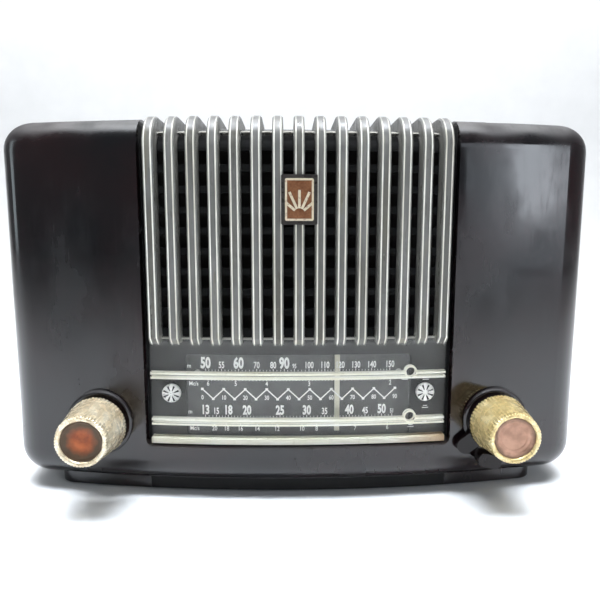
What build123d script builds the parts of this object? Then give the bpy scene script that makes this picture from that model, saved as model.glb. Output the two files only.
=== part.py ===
from build123d import *
import math
import os

# Bakelite table radio of about 1950: a moulded cabinet with a bowed front, a clear ribbed front
# moulding that wraps over the top, a slide-rule dial, a small loudspeaker and a five-valve chassis.
# Frame: X to the right, Y from front to back, Z up. The origin is on the table, under the middle
# of the whole depth, knobs included. Sizes are in millimetres.

# ---------------------------------------------------------------- cabinet
WIDTH = 270.0
HEIGHT = 170.0              # table to the flat top
DEPTH = 140.0               # middle of the bowed front to the rear rim
BOW_R = 600.0               # plan radius of the bowed front
CORNER_R = 18.0             # plan radius of the front corners
TOP_R = 13.0                # rounding of the top edges
BOTTOM_R = 14.0             # rounding of the bottom edges
WALL = 3.5
FOOT_STAND = 1.0            # how far the feet stand below the plinth
PLINTH_H = 4.4
PLINTH_IN = 8.3             # plinth set back from the front
PLINTH_SIDE_IN = 19.0       # plinth set in from each side
PLINTH_WALL = 4.0
PLINTH_ROOT = 3.0           # how far the plinth runs up into the rounded floor
SPARE = 10.0                # how far cutting shapes run past what they cut
FOOT_R = 6.5
FOOT_H = 3.0
FOOT_BOSS_R = 8.5
FOOT_SPARE = 1.5            # feet bosses to the plinth's wall
FOOT_FRONT_IN = 31.0
FOOT_BACK_IN = 26.0

# ---------------------------------------------------------------- knobs and controls
KNOB_X = 89.8
KNOB_Z = 35.7
KNOB_LENGTH = 19.5
KNOB_BACK = 1.0             # the knobs' back face, behind the middle of the front
KNOB_BACK_R = 13.5
KNOB_FRONT_R = 11.0
KNOB_FLUTES = 52
FLUTE_R = 0.5
KNOB_LIP = 2.2              # width of the knob's front ring
INSERT_T = 1.6
INSERT_SINK = 0.9           # how far the insert lies below the ring
KNOB_WEB = 2.6              # knob material between the insert and the spindle's end
GRUB_R = 1.5
GRUB_FROM_BACK = 6.0
SPINDLE_R = 3.0
RUNNING = 0.05              # radial clearance of a shaft in its bearing
GAP = 0.3                   # clearance between separate moving pieces
COLLAR_R = 14.8
LEVER_T = 2.2
LEVER_R = 12.8
LEVER_TAB_R = 20.6          # reach of the thumb tab from the spindle
LEVER_TAB_W = 10.5
LEVER_TAB_T = 5.6
LEVER_TAB_ANGLE = 257.0
LEVER_TAB_CORNER = 4.0
LEVER_PIP_REACH = 21.6      # reach of the smaller arm that shows the wave band
LEVER_PIP_W = 7.4
LEVER_PIP_ANGLE = 217.5
WAVE_SHAFT_R = 4.5
SHAFT_HOLE_R = 5.4          # clearance hole in the cabinet
COLLAR_EDGE_R = 1.2
WAVE_PLATE_W = 42.0
WAVE_PLATE_H = 34.0
WAVE_PLATE_T = 1.6
WAVE_POST_X = 16.0          # the switch's stand-offs, from the spindle
WAVE_POST_Z = 11.0
WAVE_POST_R = 2.2
WAVE_RIVET_R = 1.2

# ---------------------------------------------------------------- grille and front moulding
PAN_IN = 7.0                # depth of the recess that takes the front moulding
PAN_FLOOR = 3.0
PAN_HALF = 72.5
POCKET_HALF = 69.0
POCKET_Z = 24.5
POCKET_CORNER_R = 3.5
POCKET_WRAP = 40.0          # how far the recess runs back over the top
PLATE_IN = 4.5              # front face of the clear plate, behind the cabinet's surface
SEAT = 0.1
MOULDING_HALF = 67.2
MOULDING_Z = 25.4
MOULDING_WRAP = 38.0
RIB_COUNT = 15
RIB_PITCH = 9.13
RIB_W = 4.5
RIB_NOSE = 0.7              # chamfer of the ribs' front edges
RIB_PROUD = 1.2             # ribs stand this far proud of the cabinet
RIB_FOOT_Z = 74.9
SLOT_Z = 74.2
SLOT_TOP_IN = 6.5           # slots end this far below the top
SLOT_W = 4.5
SLOT_CORNER_R = 1.2
RIDGE_ZS = (33.6, 55.1)     # underside of each pair of ridges
RIDGE_H = 1.2
RIDGE_SPACE = 0.6           # between the two ridges of a pair
RIDGE_PROUD = 0.7
FOOT_BAND_H = 2.6
FOOT_BAND_PROUD = 2.0
SCREW_X = 57.5
SCREW_Z = 48.8
SCREW_R = 1.6
SCREW_HEAD_R = 4.25
SCREW_HEAD_T = 1.8
ROSETTE_W = 1.2             # width and depth of the rosette's slots
ROSETTE_DEPTH = 0.35
SCREW_BOSS_R = 3.6
DIAL_HALF = 51.5
DIAL_Z = 27.0
DIAL_TOP = 66.0
DIAL_CORNER_R = 2.0
DIAL_TRAVEL = 42.0          # the pointer's reach each side of the middle
LOUVRE_Z = 78.0
LOUVRE_PITCH = 9.0
LOUVRE_SLOT = 6.0
LOUVRE_HALF = 64.0
LOUVRE_MULLION = 4.0
LOUVRE_CORNER_R = 1.5
BADGE_W = 15.3
BADGE_H = 20.8
BADGE_Z = 134.5
BADGE_T = 1.0
TILE_IN = 1.6               # dark border round the badge's tile
TILE_T = 0.4
RAY_W = 1.1
RAY_LENGTH = 7.6
RAY_TURNS = (-50, -25, 0, 25, 50)

# ---------------------------------------------------------------- dial drive
CORD_R = 0.4
DRUM_X = -96.0
DRUM_Z = 72.0
DRUM_GROOVE_R = 26.0
DRUM_FLANGE_R = 28.0
SPINDLE_GROOVE_R = 2.6
PULLEY_GROOVE_R = 4.4
PULLEY_FLANGE_R = 6.2
PULLEY_W = 3.0
PULLEY_PIN_R = 2.0
PULLEY_LEFT_X = -57.0
PULLEY_RIGHT_X = 58.0
POINTER_LINE_Z = 70.5       # height of the cord's level run
POINTER_X = 18.0            # where the pointer stands at rest
POINTER_W = 2.4
POINTER_T = 0.8
POINTER_LOW_Z = 28.0
CARRIAGE_W = 10.0
BACKPLATE_HALF = 58.0
BACKPLATE_LOW_Z = 24.0
BACKPLATE_TOP_Z = 66.5
BACKPLATE_T = 1.0
PILLAR_X = 47.0
PILLAR_Z = 56.0
PILLAR_R = 3.0
PILLAR_RIVET_R = 1.5
SPRING_R = 1.1
SPRING_WIRE_R = 0.3
SPRING_TURNS = 14
SPRING_PITCH = 0.9
SPRING_DROP = 13.0          # the spring lies this far below the drum's middle

# ---------------------------------------------------------------- chassis and what stands on it
SHEET = 1.2
DECK_Z = 50.0
CHASSIS_HALF = 118.0
CHASSIS_REAR_IN = 22.0      # chassis rear to the cabinet's rear rim
BOLT_X = 80.0
BOLT_R = 2.0
PANEL_TOP_Z = 72.0
PANEL_LEFT_TOP_Z = 88.0
PANEL_STEP_X = -40.0        # the front panel is taller to the left of this
FLANGE_HALF = 9.0
FLANGE_DEPTH = 16.0
BOLT_IN = 9.0               # bolts to the chassis's front and rear
POT_R = 12.5
POT_T = 14.0
BUSH_R = 4.8
VALVE_R = 11.0
VALVE_GLASS_H = 56.0
VALVE_XS = (-96.0, -57.0, -18.0, 21.0, 60.0)
VALVE_BASE_H = 6.0
VALVE_SOCKET_H = 3.0
VALVE_REAR_IN = 20.0
ANODE_R = 5.5
MICA_R = 8.6
LAMP_X = 45.0
LAMP_Z = 19.0
LAMP_R = 3.4
GANG_W = 40.0
GANG_LENGTH = 44.0
GANG_H = 36.0
VANE_R = 16.0
VANE_T = 0.6
VANE_PITCH = 3.0
VANES_PER_BANK = 5
SPEAKER_R = 41.0
SPEAKER_TOP_IN = 13.0       # top of the loudspeaker below the cabinet's top
SPEAKER_WINDOW_R = 6.5
BAFFLE_T = 4.0
BAFFLE_HALF = 70.0
BAFFLE_POST_X = 66.0
BAFFLE_POST_R = 3.5
CLOTH_HALF = 61.0
CLOTH_T = 0.5
CONE_TRAVEL = 0.8
COVER_T = 2.4
COVER_GAP = 0.4
COVER_SINK = 2.0            # the rear cover lies this far inside the rim
COVER_SCREW_R = 1.7
COVER_BOSS_R = 5.0
COVER_BOSS_L = 14.0
VENT_Z = 62.0               # lowest row of vent slots
VENT_TOP_IN = 24.0
VENT_PITCH = 9.0
VENT_H = 3.4
VENT_COLUMNS = 5
MAGNET_R = 17.0
SOCKET_X = -60.0
SOCKET_SPACING = 19.0
SOCKET_Z = 28.0
SOCKET_BORE_R = 2.1
SOCKET_LENGTH = 14.0
GROMMET_X = 84.0
GROMMET_Z = 24.0
GROMMET_R = 6.0
GROMMET_BORE_R = 3.6
GROMMET_LIP = 2.0
TRANSFORMER_X = 60.0
CORE_W = 38.0
CORE_D = 15.0
CORE_H = 32.0
BOBBIN_IN = 7.0             # bobbin to the core's ends
BOBBIN_D = 33.0
CAN_XS = (-52.0, 40.0)
CAN_SIDE = 25.0
CAN_H = 50.0
CAPACITOR_X = 98.0
CAPACITOR_R = 13.5
CAPACITOR_H = 62.0
DROPPER_X = 108.0
DROPPER_R = 7.0
DROPPER_H = 62.0
COIL_X = -30.0
COIL_R = 7.0
COIL_LENGTH = 56.0
COIL_DROP = 16.0            # middle of the coil below the deck's top
WINDINGS = ((-41.0, 18.0), (-17.0, 14.0))
WINDING_T = 1.2
TAG_X = (14.0, 74.0)
TAG_HALF = 14.0
TAG_DROP = 12.0
TAG_T = 1.6
WAX_R = 5.0
WAX_LENGTH = 22.0
WAX_PITCH = 14.0


def bow(x, inset=0.0):
    """How far behind its own middle the bowed front lies at x."""
    radius = BOW_R - inset
    return radius - math.sqrt(radius ** 2 - x ** 2)


# ---------------------------------------------------------------- places worked out from the sizes
BODY_Z = FOOT_STAND + PLINTH_H
FLOOR_Z = BODY_Z + WALL
AHEAD = KNOB_LENGTH - KNOB_BACK
Y_FRONT = AHEAD - (AHEAD + DEPTH) / 2
Y_BACK = Y_FRONT + DEPTH
KNOB_BACK_Y = Y_FRONT + KNOB_BACK
LEVER_Y = KNOB_BACK_Y + GAP
COLLAR_Y = LEVER_Y + LEVER_T + GAP
PAN_BACK_IN = PAN_IN + PAN_FLOOR
WALL_BACK_Y = Y_FRONT + WALL + bow(KNOB_X + WAVE_PLATE_W / 2, WALL)
PAN_BACK_Y = Y_FRONT + PAN_BACK_IN + bow(PAN_HALF, PAN_BACK_IN)
WAVE_PLATE_Y = max(WALL_BACK_Y, PAN_BACK_Y) + GAP
WAVE_ROTOR_Y = WAVE_PLATE_Y + WAVE_PLATE_T + GAP
BACKPLATE_Y = Y_FRONT + PAN_BACK_IN + bow(DIAL_HALF) + 2.8
SCREW_BOSS_Y = BACKPLATE_Y - 0.6
POINTER_Y = BACKPLATE_Y - GAP - 0.8 - POINTER_T
CORD_Y = WAVE_ROTOR_Y + 7.4
PANEL_Y = CORD_Y + 6.0
GANG_Y = PANEL_Y + SHEET + 3.0
DECK_BACK_Y = Y_BACK - CHASSIS_REAR_IN
VALVE_GLASS_Z = DECK_Z + VALVE_SOCKET_H + VALVE_BASE_H
DRUM_PITCH_R = DRUM_GROOVE_R + GAP + CORD_R
SPINDLE_PITCH_R = SPINDLE_GROOVE_R + GAP + CORD_R
PULLEY_PITCH_R = PULLEY_GROOVE_R + GAP + CORD_R
PULLEY_LEFT_Z = POINTER_LINE_Z + PULLEY_PITCH_R
PULLEY_RIGHT_Z = POINTER_LINE_Z - PULLEY_PITCH_R
SPEAKER_Z = HEIGHT - SPEAKER_TOP_IN - SPEAKER_R
BAFFLE_Y = Y_FRONT + PAN_BACK_IN + bow(PAN_HALF) + GAP
BAFFLE_LOW_Z = POINTER_LINE_Z + 3.5
BAFFLE_TOP_Z = HEIGHT - PAN_BACK_IN - 2.0
BASKET_Y = BAFFLE_Y + BAFFLE_T
VALVE_Y = DECK_BACK_Y - VALVE_REAR_IN
FOOT_X = WIDTH / 2 - PLINTH_SIDE_IN - PLINTH_WALL - FOOT_BOSS_R - FOOT_SPARE
FOOT_YS = (Y_FRONT + FOOT_FRONT_IN, Y_BACK - FOOT_BACK_IN)
BOLT_YS = (PANEL_Y + BOLT_IN, DECK_BACK_Y - BOLT_IN)
COVER_Y = Y_BACK - COVER_SINK - COVER_T
COVER_SCREW_X = WIDTH / 2 - WALL - 4.2
COVER_SCREW_ZS = (FLOOR_Z + 12.0, HEIGHT - 24.0)
REST_TURN = math.degrees((POINTER_X + DIAL_TRAVEL) / DRUM_PITCH_R)
UNDER_DECK_Y = GANG_Y + 30.0


# ---------------------------------------------------------------- shapes used throughout
def slab(x0, x1, y0, y1, z0, z1):
    """A box given by its six faces."""
    return Pos((x0 + x1) / 2, (y0 + y1) / 2, (z0 + z1) / 2) * Box(x1 - x0, y1 - y0, z1 - z0)


def rod(x, z, y0, y1, radius):
    """A round bar along Y."""
    return Pos(x, (y0 + y1) / 2, z) * Rot(90, 0, 0) * Cylinder(radius, y1 - y0)


def pipe(x, z, y0, y1, radius, bore):
    """A round tube along Y."""
    return rod(x, z, y0, y1, radius) - rod(x, z, y0 - 1, y1 + 1, bore)


def post(x, y, z0, z1, radius):
    """A round bar along Z."""
    return Pos(x, y, (z0 + z1) / 2) * Cylinder(radius, z1 - z0)


def facing(y):
    """An upright drawing plane at y, seen from the front: its x is X and its y is Z."""
    return Plane(origin=(0, y, 0), x_dir=(1, 0, 0), z_dir=(0, -1, 0))


def prism(outline, y0, y1):
    """An outline drawn in X and Z, run from y0 back to y1."""
    return extrude(facing(y0) * outline, amount=y0 - y1)


def turned(points, x, z):
    """A body turned about the line along Y through x, z. Each point is a radius and a y."""
    outline = make_face(Polyline([(radius, y) for radius, y in points], close=True))
    upright = Plane(origin=(x, 0, z), x_dir=(1, 0, 0), z_dir=(0, 0, 1))
    return revolve(upright * outline, axis=Axis((x, 0, z), (0, 1, 0)))


def group(solids):
    """Separate solids kept together in one node."""
    return Compound(children=list(solids))


def plan(inset, back, half):
    """Plan outline, set in from the outside: bowed front, rounded front corners, square at the back."""
    nose = Y_FRONT + inset
    side = nose + bow(half, inset)
    front = ThreePointArc((-half, side), (0, nose), (half, side))
    rest = Polyline((half, side), (half, back), (-half, back), (-half, side))
    face = make_face([front, rest])
    corners = face.vertices().sort_by(Axis.Y)[:2]
    return fillet(corners, CORNER_R - inset)


def block(inset, back=Y_BACK):
    """The cabinet's outer form, set in by inset on every side but the back."""
    low = BODY_Z + inset
    high = HEIGHT - inset
    body = Pos(0, 0, low) * extrude(plan(inset, back, WIDTH / 2 - inset), amount=high - low)
    top = [e for e in body.edges().group_by(Axis.Z)[-1] if e.center().Y < back - 0.01]
    body = fillet(top, TOP_R - inset)
    bottom = [e for e in body.edges().group_by(Axis.Z)[0] if e.center().Y < back - 0.01]
    return fillet(bottom, max(BOTTOM_R - inset, 0.5))


def side_outline(x, inset):
    """The cabinet's outline in the upright plane at x: front face, rounded top edge and top."""
    y = Y_FRONT + inset + bow(x, inset)
    z = HEIGHT - inset
    r = TOP_R - inset
    turn = r * (1 - math.sqrt(0.5))
    face = Polyline((Y_BACK, z), (Y_BACK, BODY_Z), (y, BODY_Z), (y, z - r))
    edge = ThreePointArc((y, z - r), (y + turn, z - turn), (y + r, z))
    return make_face([face, edge, Line((y + r, z), (Y_BACK, z))])


# ---------------------------------------------------------------- cabinet
def plinth():
    """The set-back skirt under the cabinet, with a boss for each foot."""
    half = WIDTH / 2 - PLINTH_SIDE_IN
    outer = plan(PLINTH_IN, Y_BACK - PLINTH_IN, half)
    inner = plan(PLINTH_IN + PLINTH_WALL, Y_BACK - PLINTH_IN - PLINTH_WALL, half - PLINTH_WALL)
    skirt = Pos(0, 0, FOOT_STAND) * extrude(outer - inner, amount=PLINTH_H + PLINTH_ROOT)
    for x in (-FOOT_X, FOOT_X):
        for y in FOOT_YS:
            skirt += post(x, y, FOOT_STAND, BODY_Z + 1, FOOT_BOSS_R)
            skirt -= post(x, y, 0, FOOT_H, FOOT_R)
    return skirt


def louvre_slots():
    """Rows of slots in front of the loudspeaker, in four columns between mullions behind ribs."""
    edges = [-LOUVRE_HALF, -4 * RIB_PITCH, 0, 4 * RIB_PITCH, LOUVRE_HALF]
    rows = int((HEIGHT - TOP_R - LOUVRE_Z) / LOUVRE_PITCH + 0.3)
    slots = []
    for row in range(rows):
        z = LOUVRE_Z + LOUVRE_SLOT / 2 + row * LOUVRE_PITCH
        for left, right in zip(edges, edges[1:]):
            slot = RectangleRounded(right - left - LOUVRE_MULLION, LOUVRE_SLOT, LOUVRE_CORNER_R)
            place = Pos((left + right) / 2, z)
            slots.append(prism(place * slot, Y_FRONT + 1, Y_FRONT + PAN_BACK_IN + SPARE))
    return slots


def baffle_post_places():
    return [(x, z) for x in (-BAFFLE_POST_X, BAFFLE_POST_X) for z in (BAFFLE_LOW_Z + 6, BAFFLE_TOP_Z - 6)]


def cabinet():
    """The moulded case: one shell with its recess, louvres, collars, bosses and plinth."""
    body = block(0) - block(WALL, back=Y_BACK + SPARE)
    pan = block(0) - block(PAN_BACK_IN, back=Y_BACK + SPARE)
    pan &= slab(-PAN_HALF, PAN_HALF, Y_FRONT - 1, Y_FRONT + POCKET_WRAP + 3, POCKET_Z - 3, HEIGHT + 1)
    body += pan
    recess = RectangleRounded(2 * POCKET_HALF, HEIGHT + SPARE - POCKET_Z, POCKET_CORNER_R)
    recess = prism(Pos(0, (HEIGHT + SPARE + POCKET_Z) / 2) * recess, Y_FRONT - 5, Y_FRONT + POCKET_WRAP)
    body -= recess - block(PAN_IN, back=Y_BACK + SPARE)
    body += plinth()
    for x in (-KNOB_X, KNOB_X):
        collar = rod(x, KNOB_Z, COLLAR_Y, Y_FRONT + bow(KNOB_X) + WALL - 0.5, COLLAR_R)
        body += fillet(collar.edges().group_by(Axis.Y)[0], COLLAR_EDGE_R)
        body -= rod(x, KNOB_Z, COLLAR_Y - 5, Y_FRONT + 30, SHAFT_HOLE_R)
    for x in (-SCREW_X, SCREW_X):
        body += rod(x, SCREW_Z, Y_FRONT + PAN_IN + bow(SCREW_X + SCREW_BOSS_R), SCREW_BOSS_Y, SCREW_BOSS_R)
        body -= rod(x, SCREW_Z, Y_FRONT - 5, SCREW_BOSS_Y + 1, SCREW_R)
    for x, z in baffle_post_places():
        body += rod(x, z, Y_FRONT + PAN_IN + bow(BAFFLE_POST_X + BAFFLE_POST_R), BAFFLE_Y, BAFFLE_POST_R)
        body -= rod(x, z, BAFFLE_Y - 3, BAFFLE_Y + 1, 1.3)
    for x in (-COVER_SCREW_X, COVER_SCREW_X):
        for z in COVER_SCREW_ZS:
            body += rod(x, z, COVER_Y - COVER_BOSS_L, COVER_Y, COVER_BOSS_R)
            body -= rod(x, z, COVER_Y - 9, COVER_Y + 1, COVER_SCREW_R)
    dial = RectangleRounded(2 * DIAL_HALF, DIAL_TOP - DIAL_Z, DIAL_CORNER_R)
    dial = Pos(0, (DIAL_TOP + DIAL_Z) / 2) * dial
    body -= prism(dial, Y_FRONT - 5, Y_FRONT + PAN_BACK_IN + SPARE)
    for x in (-BOLT_X, BOLT_X):
        for y in BOLT_YS:
            body -= post(x, y, 0, FLOOR_Z + 1, BOLT_R + 0.2)
    return body.cut(*louvre_slots())


def feet():
    """Four rubber feet pressed into the plinth's bosses."""
    return group(post(x, y, 0, FOOT_H, FOOT_R) for x in (-FOOT_X, FOOT_X) for y in FOOT_YS)


# ---------------------------------------------------------------- clear front moulding
def rib(x):
    """One upright rib: up the front, round the top edge and back over the top."""
    outline = side_outline(x, -RIB_PROUD) - side_outline(x, PLATE_IN + 1)
    front = Y_FRONT - RIB_PROUD + bow(x, -RIB_PROUD)
    run_out = PLATE_IN + RIB_PROUD
    foot = Polyline((front - 5, BODY_Z - 1), (front - 5, RIB_FOOT_Z + 5),
                    (front + run_out, RIB_FOOT_Z - run_out), (Y_BACK, RIB_FOOT_Z - run_out),
                    (Y_BACK, BODY_Z - 1), close=True)
    outline -= make_face(foot)
    behind = Y_FRONT + MOULDING_WRAP
    outline -= make_face(Polyline((behind, 0), (behind, HEIGHT + 9), (Y_BACK + 1, HEIGHT + 9),
                                  (Y_BACK + 1, 0), close=True))
    bar = extrude(Plane.YZ.offset(x) * outline, amount=RIB_W / 2, both=True)
    top = HEIGHT + RIB_PROUD
    nose = []
    for edge in bar.edges():
        on_side = abs(abs(edge.center().X - x) - RIB_W / 2) < 0.01
        upright = edge.geom_type == GeomType.LINE and abs(edge.center().Y - front) < 0.01
        level = edge.geom_type == GeomType.LINE and abs(edge.center().Z - top) < 0.01
        bend = edge.geom_type == GeomType.CIRCLE and abs(edge.radius - TOP_R - RIB_PROUD) < 0.01
        if on_side and (upright or level or bend):
            nose.append(edge)
    return chamfer(nose, RIB_NOSE)


def rib_places():
    return [(i - (RIB_COUNT - 1) / 2) * RIB_PITCH for i in range(RIB_COUNT)]


def band(z0, z1, proud):
    """A level ridge across the dial window."""
    ridge = block(PLATE_IN - proud) - block(PLATE_IN + 0.2, back=Y_BACK + SPARE)
    return ridge & slab(-MOULDING_HALF, MOULDING_HALF, Y_FRONT - 1, Y_FRONT + 12, z0, z1)


def front_moulding():
    """The clear moulding: dial window, two pairs of ridges, a foot band, ribs and slots, in one piece."""
    plate = block(PLATE_IN) - block(PAN_IN - SEAT, back=Y_BACK + SPARE)
    back = Y_FRONT + MOULDING_WRAP
    plate &= slab(-MOULDING_HALF, MOULDING_HALF, Y_FRONT - 1, back, MOULDING_Z, HEIGHT + 1)
    slots = []
    top = HEIGHT - SLOT_TOP_IN
    for x in rib_places()[:-1]:
        slot = RectangleRounded(SLOT_W, top - SLOT_Z, SLOT_CORNER_R)
        place = Pos(x + RIB_PITCH / 2, (top + SLOT_Z) / 2)
        slots.append(prism(place * slot, Y_FRONT - 2, Y_FRONT + PAN_IN + 12))
    body = plate.cut(*slots)
    body = body.fuse(*[rib(x) for x in rib_places()])
    bands = [band(MOULDING_Z, MOULDING_Z + FOOT_BAND_H, FOOT_BAND_PROUD)]
    for z in RIDGE_ZS:
        upper = z + RIDGE_H + RIDGE_SPACE
        bands += [band(z, z + RIDGE_H, RIDGE_PROUD), band(upper, upper + RIDGE_H, RIDGE_PROUD)]
    body = body.fuse(*bands)
    for x in (-SCREW_X, SCREW_X):
        body -= rod(x, SCREW_Z, Y_FRONT - 5, Y_FRONT + 20, SCREW_R + 0.1)
    return body


def scale_screws():
    """Two round-headed screws with a rosette of slots, through the window into the cabinet's bosses."""
    screws = []
    for x in (-SCREW_X, SCREW_X):
        seat = Y_FRONT + PLATE_IN + bow(SCREW_X - SCREW_HEAD_R)
        head = rod(x, SCREW_Z, seat - SCREW_HEAD_T, seat, SCREW_HEAD_R)
        head = fillet(head.edges().group_by(Axis.Y)[0], 0.9)
        for turn in range(4):
            cut = Box(2 * SCREW_HEAD_R, ROSETTE_W, 2 * ROSETTE_DEPTH)
            head -= Pos(x, seat - SCREW_HEAD_T, SCREW_Z) * Rot(0, 45 * turn, 0) * cut
        screws.append(head + rod(x, SCREW_Z, seat - 0.5, SCREW_BOSS_Y - 0.3, SCREW_R - RUNNING))
    return group(screws)


def badge_plate():
    """The dark plate on the ribs' noses."""
    y = Y_FRONT - RIB_PROUD
    return prism(Pos(0, BADGE_Z) * RectangleRounded(BADGE_W, BADGE_H, 0.6), y - BADGE_T, y)


def badge_emblem():
    """A plain fan ornament on the badge: a rounded tile with a sunray fan standing on it."""
    y = Y_FRONT - RIB_PROUD - BADGE_T
    outline = RectangleRounded(BADGE_W - 2 * TILE_IN, BADGE_H - 2 * TILE_IN, 0.8)
    body = prism(Pos(0, BADGE_Z) * outline, y - TILE_T, y)
    foot = Pos(0, y - TILE_T, BADGE_Z - 6.0)
    for turn in RAY_TURNS:
        ray = foot * Rot(0, turn, 0) * Pos(0, 0, 6.2) * Box(RAY_W, 2 * TILE_T, RAY_LENGTH)
        body += ray & slab(-6, 6, y - 2 * TILE_T, y, BADGE_Z - 9, BADGE_Z + 8.2)
    return body


# ---------------------------------------------------------------- dial
def scale_backplate():
    """The dark plate behind the pointer, on pillars from the chassis."""
    height = BACKPLATE_TOP_Z - BACKPLATE_LOW_Z
    outline = RectangleRounded(2 * BACKPLATE_HALF, height, 1.5)
    outline = Pos(0, (BACKPLATE_TOP_Z + BACKPLATE_LOW_Z) / 2) * outline
    plate = prism(outline, BACKPLATE_Y, BACKPLATE_Y + BACKPLATE_T)
    for x, z in pillar_places():
        plate -= rod(x, z, BACKPLATE_Y - 1, BACKPLATE_Y + 2, PILLAR_RIVET_R)
    return plate


def pillar_places():
    return [(-PILLAR_X, PILLAR_Z), (PILLAR_X, PILLAR_Z)]


def scale_pillars():
    """Two spacing pillars between the chassis front and the backplate, riveted through it."""
    pillars = []
    for x, z in pillar_places():
        pillar = rod(x, z, BACKPLATE_Y + BACKPLATE_T, PANEL_Y, PILLAR_R)
        pillars.append(pillar + rod(x, z, BACKPLATE_Y - 0.4, BACKPLATE_Y + 2, PILLAR_RIVET_R))
    return group(pillars)


def pointer():
    """The pointer blade with its bridge over the backplate, its guide leg and its cord clip."""
    x0 = POINTER_X - CARRIAGE_W / 2
    x1 = POINTER_X + CARRIAGE_W / 2
    bridge_z = BACKPLATE_TOP_Z + 0.4
    clip_y = CORD_Y + CORD_R + GAP + 0.1
    blade = slab(POINTER_X - POINTER_W / 2, POINTER_X + POINTER_W / 2, POINTER_Y, POINTER_Y + POINTER_T,
                 POINTER_LOW_Z, bridge_z + 1.2)
    bridge = slab(x0, x1, POINTER_Y, clip_y + 1.0, bridge_z, bridge_z + 1.2)
    guide_y = BACKPLATE_Y + BACKPLATE_T + 0.4
    guide = slab(x0, x1, guide_y, guide_y + POINTER_T, BACKPLATE_TOP_Z - 4.5, bridge_z + 0.5)
    clip = slab(x0 + 2, x1 - 2, clip_y, clip_y + 1.0, bridge_z, POINTER_LINE_Z + 1.0)
    return blade + bridge + guide + clip


# ---------------------------------------------------------------- cord drive
def belt_run(wheel, following):
    """Where a cord leaves one wheel and meets the next. A wheel is x, z, radius and turning sense."""
    x0, z0, r0, s0 = wheel
    x1, z1, r1, s1 = following
    span = math.hypot(x1 - x0, z1 - z0)
    angle = math.atan2(z1 - z0, x1 - x0) + math.asin((s1 * r1 - s0 * r0) / span)
    nx = math.sin(angle)
    nz = -math.cos(angle)
    return (x0 - s0 * r0 * nx, z0 - s0 * r0 * nz), (x1 - s1 * r1 * nx, z1 - s1 * r1 * nz)


def drive_cord():
    """The closed cord round drum, pulleys and spindle, with two friction turns on the spindle."""
    wheels = [(DRUM_X, DRUM_Z, DRUM_PITCH_R, 1), (PULLEY_LEFT_X, PULLEY_LEFT_Z, PULLEY_PITCH_R, -1),
              (PULLEY_RIGHT_X, PULLEY_RIGHT_Z, PULLEY_PITCH_R, 1), (KNOB_X, KNOB_Z, SPINDLE_PITCH_R, 1)]
    runs = [belt_run(wheel, wheels[(i + 1) % 4]) for i, wheel in enumerate(wheels)]
    pieces = []
    for i, (x, z, radius, sense) in enumerate(wheels):
        leave, meet = runs[i]
        arrive = runs[i - 1][1]
        a0 = math.atan2(arrive[1] - z, arrive[0] - x)
        a1 = math.atan2(leave[1] - z, leave[0] - x)
        sweep_angle = (sense * (a0 - a1)) % (2 * math.pi)
        ring = Pos(x + radius, CORD_Y, z) * Plane.XY * Circle(CORD_R)
        arc = revolve(ring, axis=Axis((x, CORD_Y, z), (0, 1, 0)), revolution_arc=math.degrees(sweep_angle))
        # A turn about +Y carries +X towards -Z, so the arc starts at its later end as angles go.
        start = a0 if sense > 0 else a1
        pieces.append(Pos(x, 0, z) * Rot(0, -math.degrees(start), 0) * Pos(-x, 0, -z) * arc)
        length = math.hypot(meet[0] - leave[0], meet[1] - leave[1])
        tilt = math.degrees(math.atan2(meet[1] - leave[1], meet[0] - leave[0]))
        middle = Pos((leave[0] + meet[0]) / 2, CORD_Y, (leave[1] + meet[1]) / 2)
        pieces.append(middle * Rot(0, 90 - tilt, 0) * Cylinder(CORD_R, length))
    loop = pieces[0].fuse(*pieces[1:])
    turns = [Pos(KNOB_X, CORD_Y + side, KNOB_Z) * Rot(90, 0, 0) * Torus(SPINDLE_PITCH_R, CORD_R)
             for side in (-0.95, 0.95)]
    return group(list(loop.solids()) + turns)


def drive_drum():
    """The flanged drum on the tuning capacitor's shaft, dished in front."""
    y0 = CORD_Y - 2.0
    y1 = CORD_Y + 2.0
    rim = DRUM_GROOVE_R - 2.5
    drum = turned([(SPINDLE_R, y0), (8, y0), (8, y1 - 1.2), (rim, y1 - 1.2), (rim, y0),
                   (DRUM_FLANGE_R, y0), (DRUM_FLANGE_R, y0 + 0.7), (DRUM_GROOVE_R, y0 + 1.1),
                   (DRUM_GROOVE_R, y1 - 1.1), (DRUM_FLANGE_R, y1 - 0.7), (DRUM_FLANGE_R, y1),
                   (7, y1), (7, y1 + 2.5), (SPINDLE_R, y1 + 2.5)], DRUM_X, DRUM_Z)
    for turn in (60, 180, 300):
        x = DRUM_X + 15.5 * math.cos(math.radians(turn))
        z = DRUM_Z + 15.5 * math.sin(math.radians(turn))
        drum -= rod(x, z, y0 - 1, y1 + 1, 3.5)
    return drum


def drum_spring():
    """The cord's tension spring, a row of close turns lying in the drum's dish."""
    y = CORD_Y - 0.6
    z = DRUM_Z - SPRING_DROP
    turns = []
    for i in range(SPRING_TURNS):
        place = Pos(DRUM_X - 6 + SPRING_PITCH * i, y, z) * Rot(0, 90, 0)
        turns.append(place * Torus(SPRING_R, SPRING_WIRE_R))
    peg = Pos(DRUM_X, y, z) * Rot(0, 90, 0) * Cylinder(0.84, 16)
    return peg.fuse(*turns)


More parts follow.
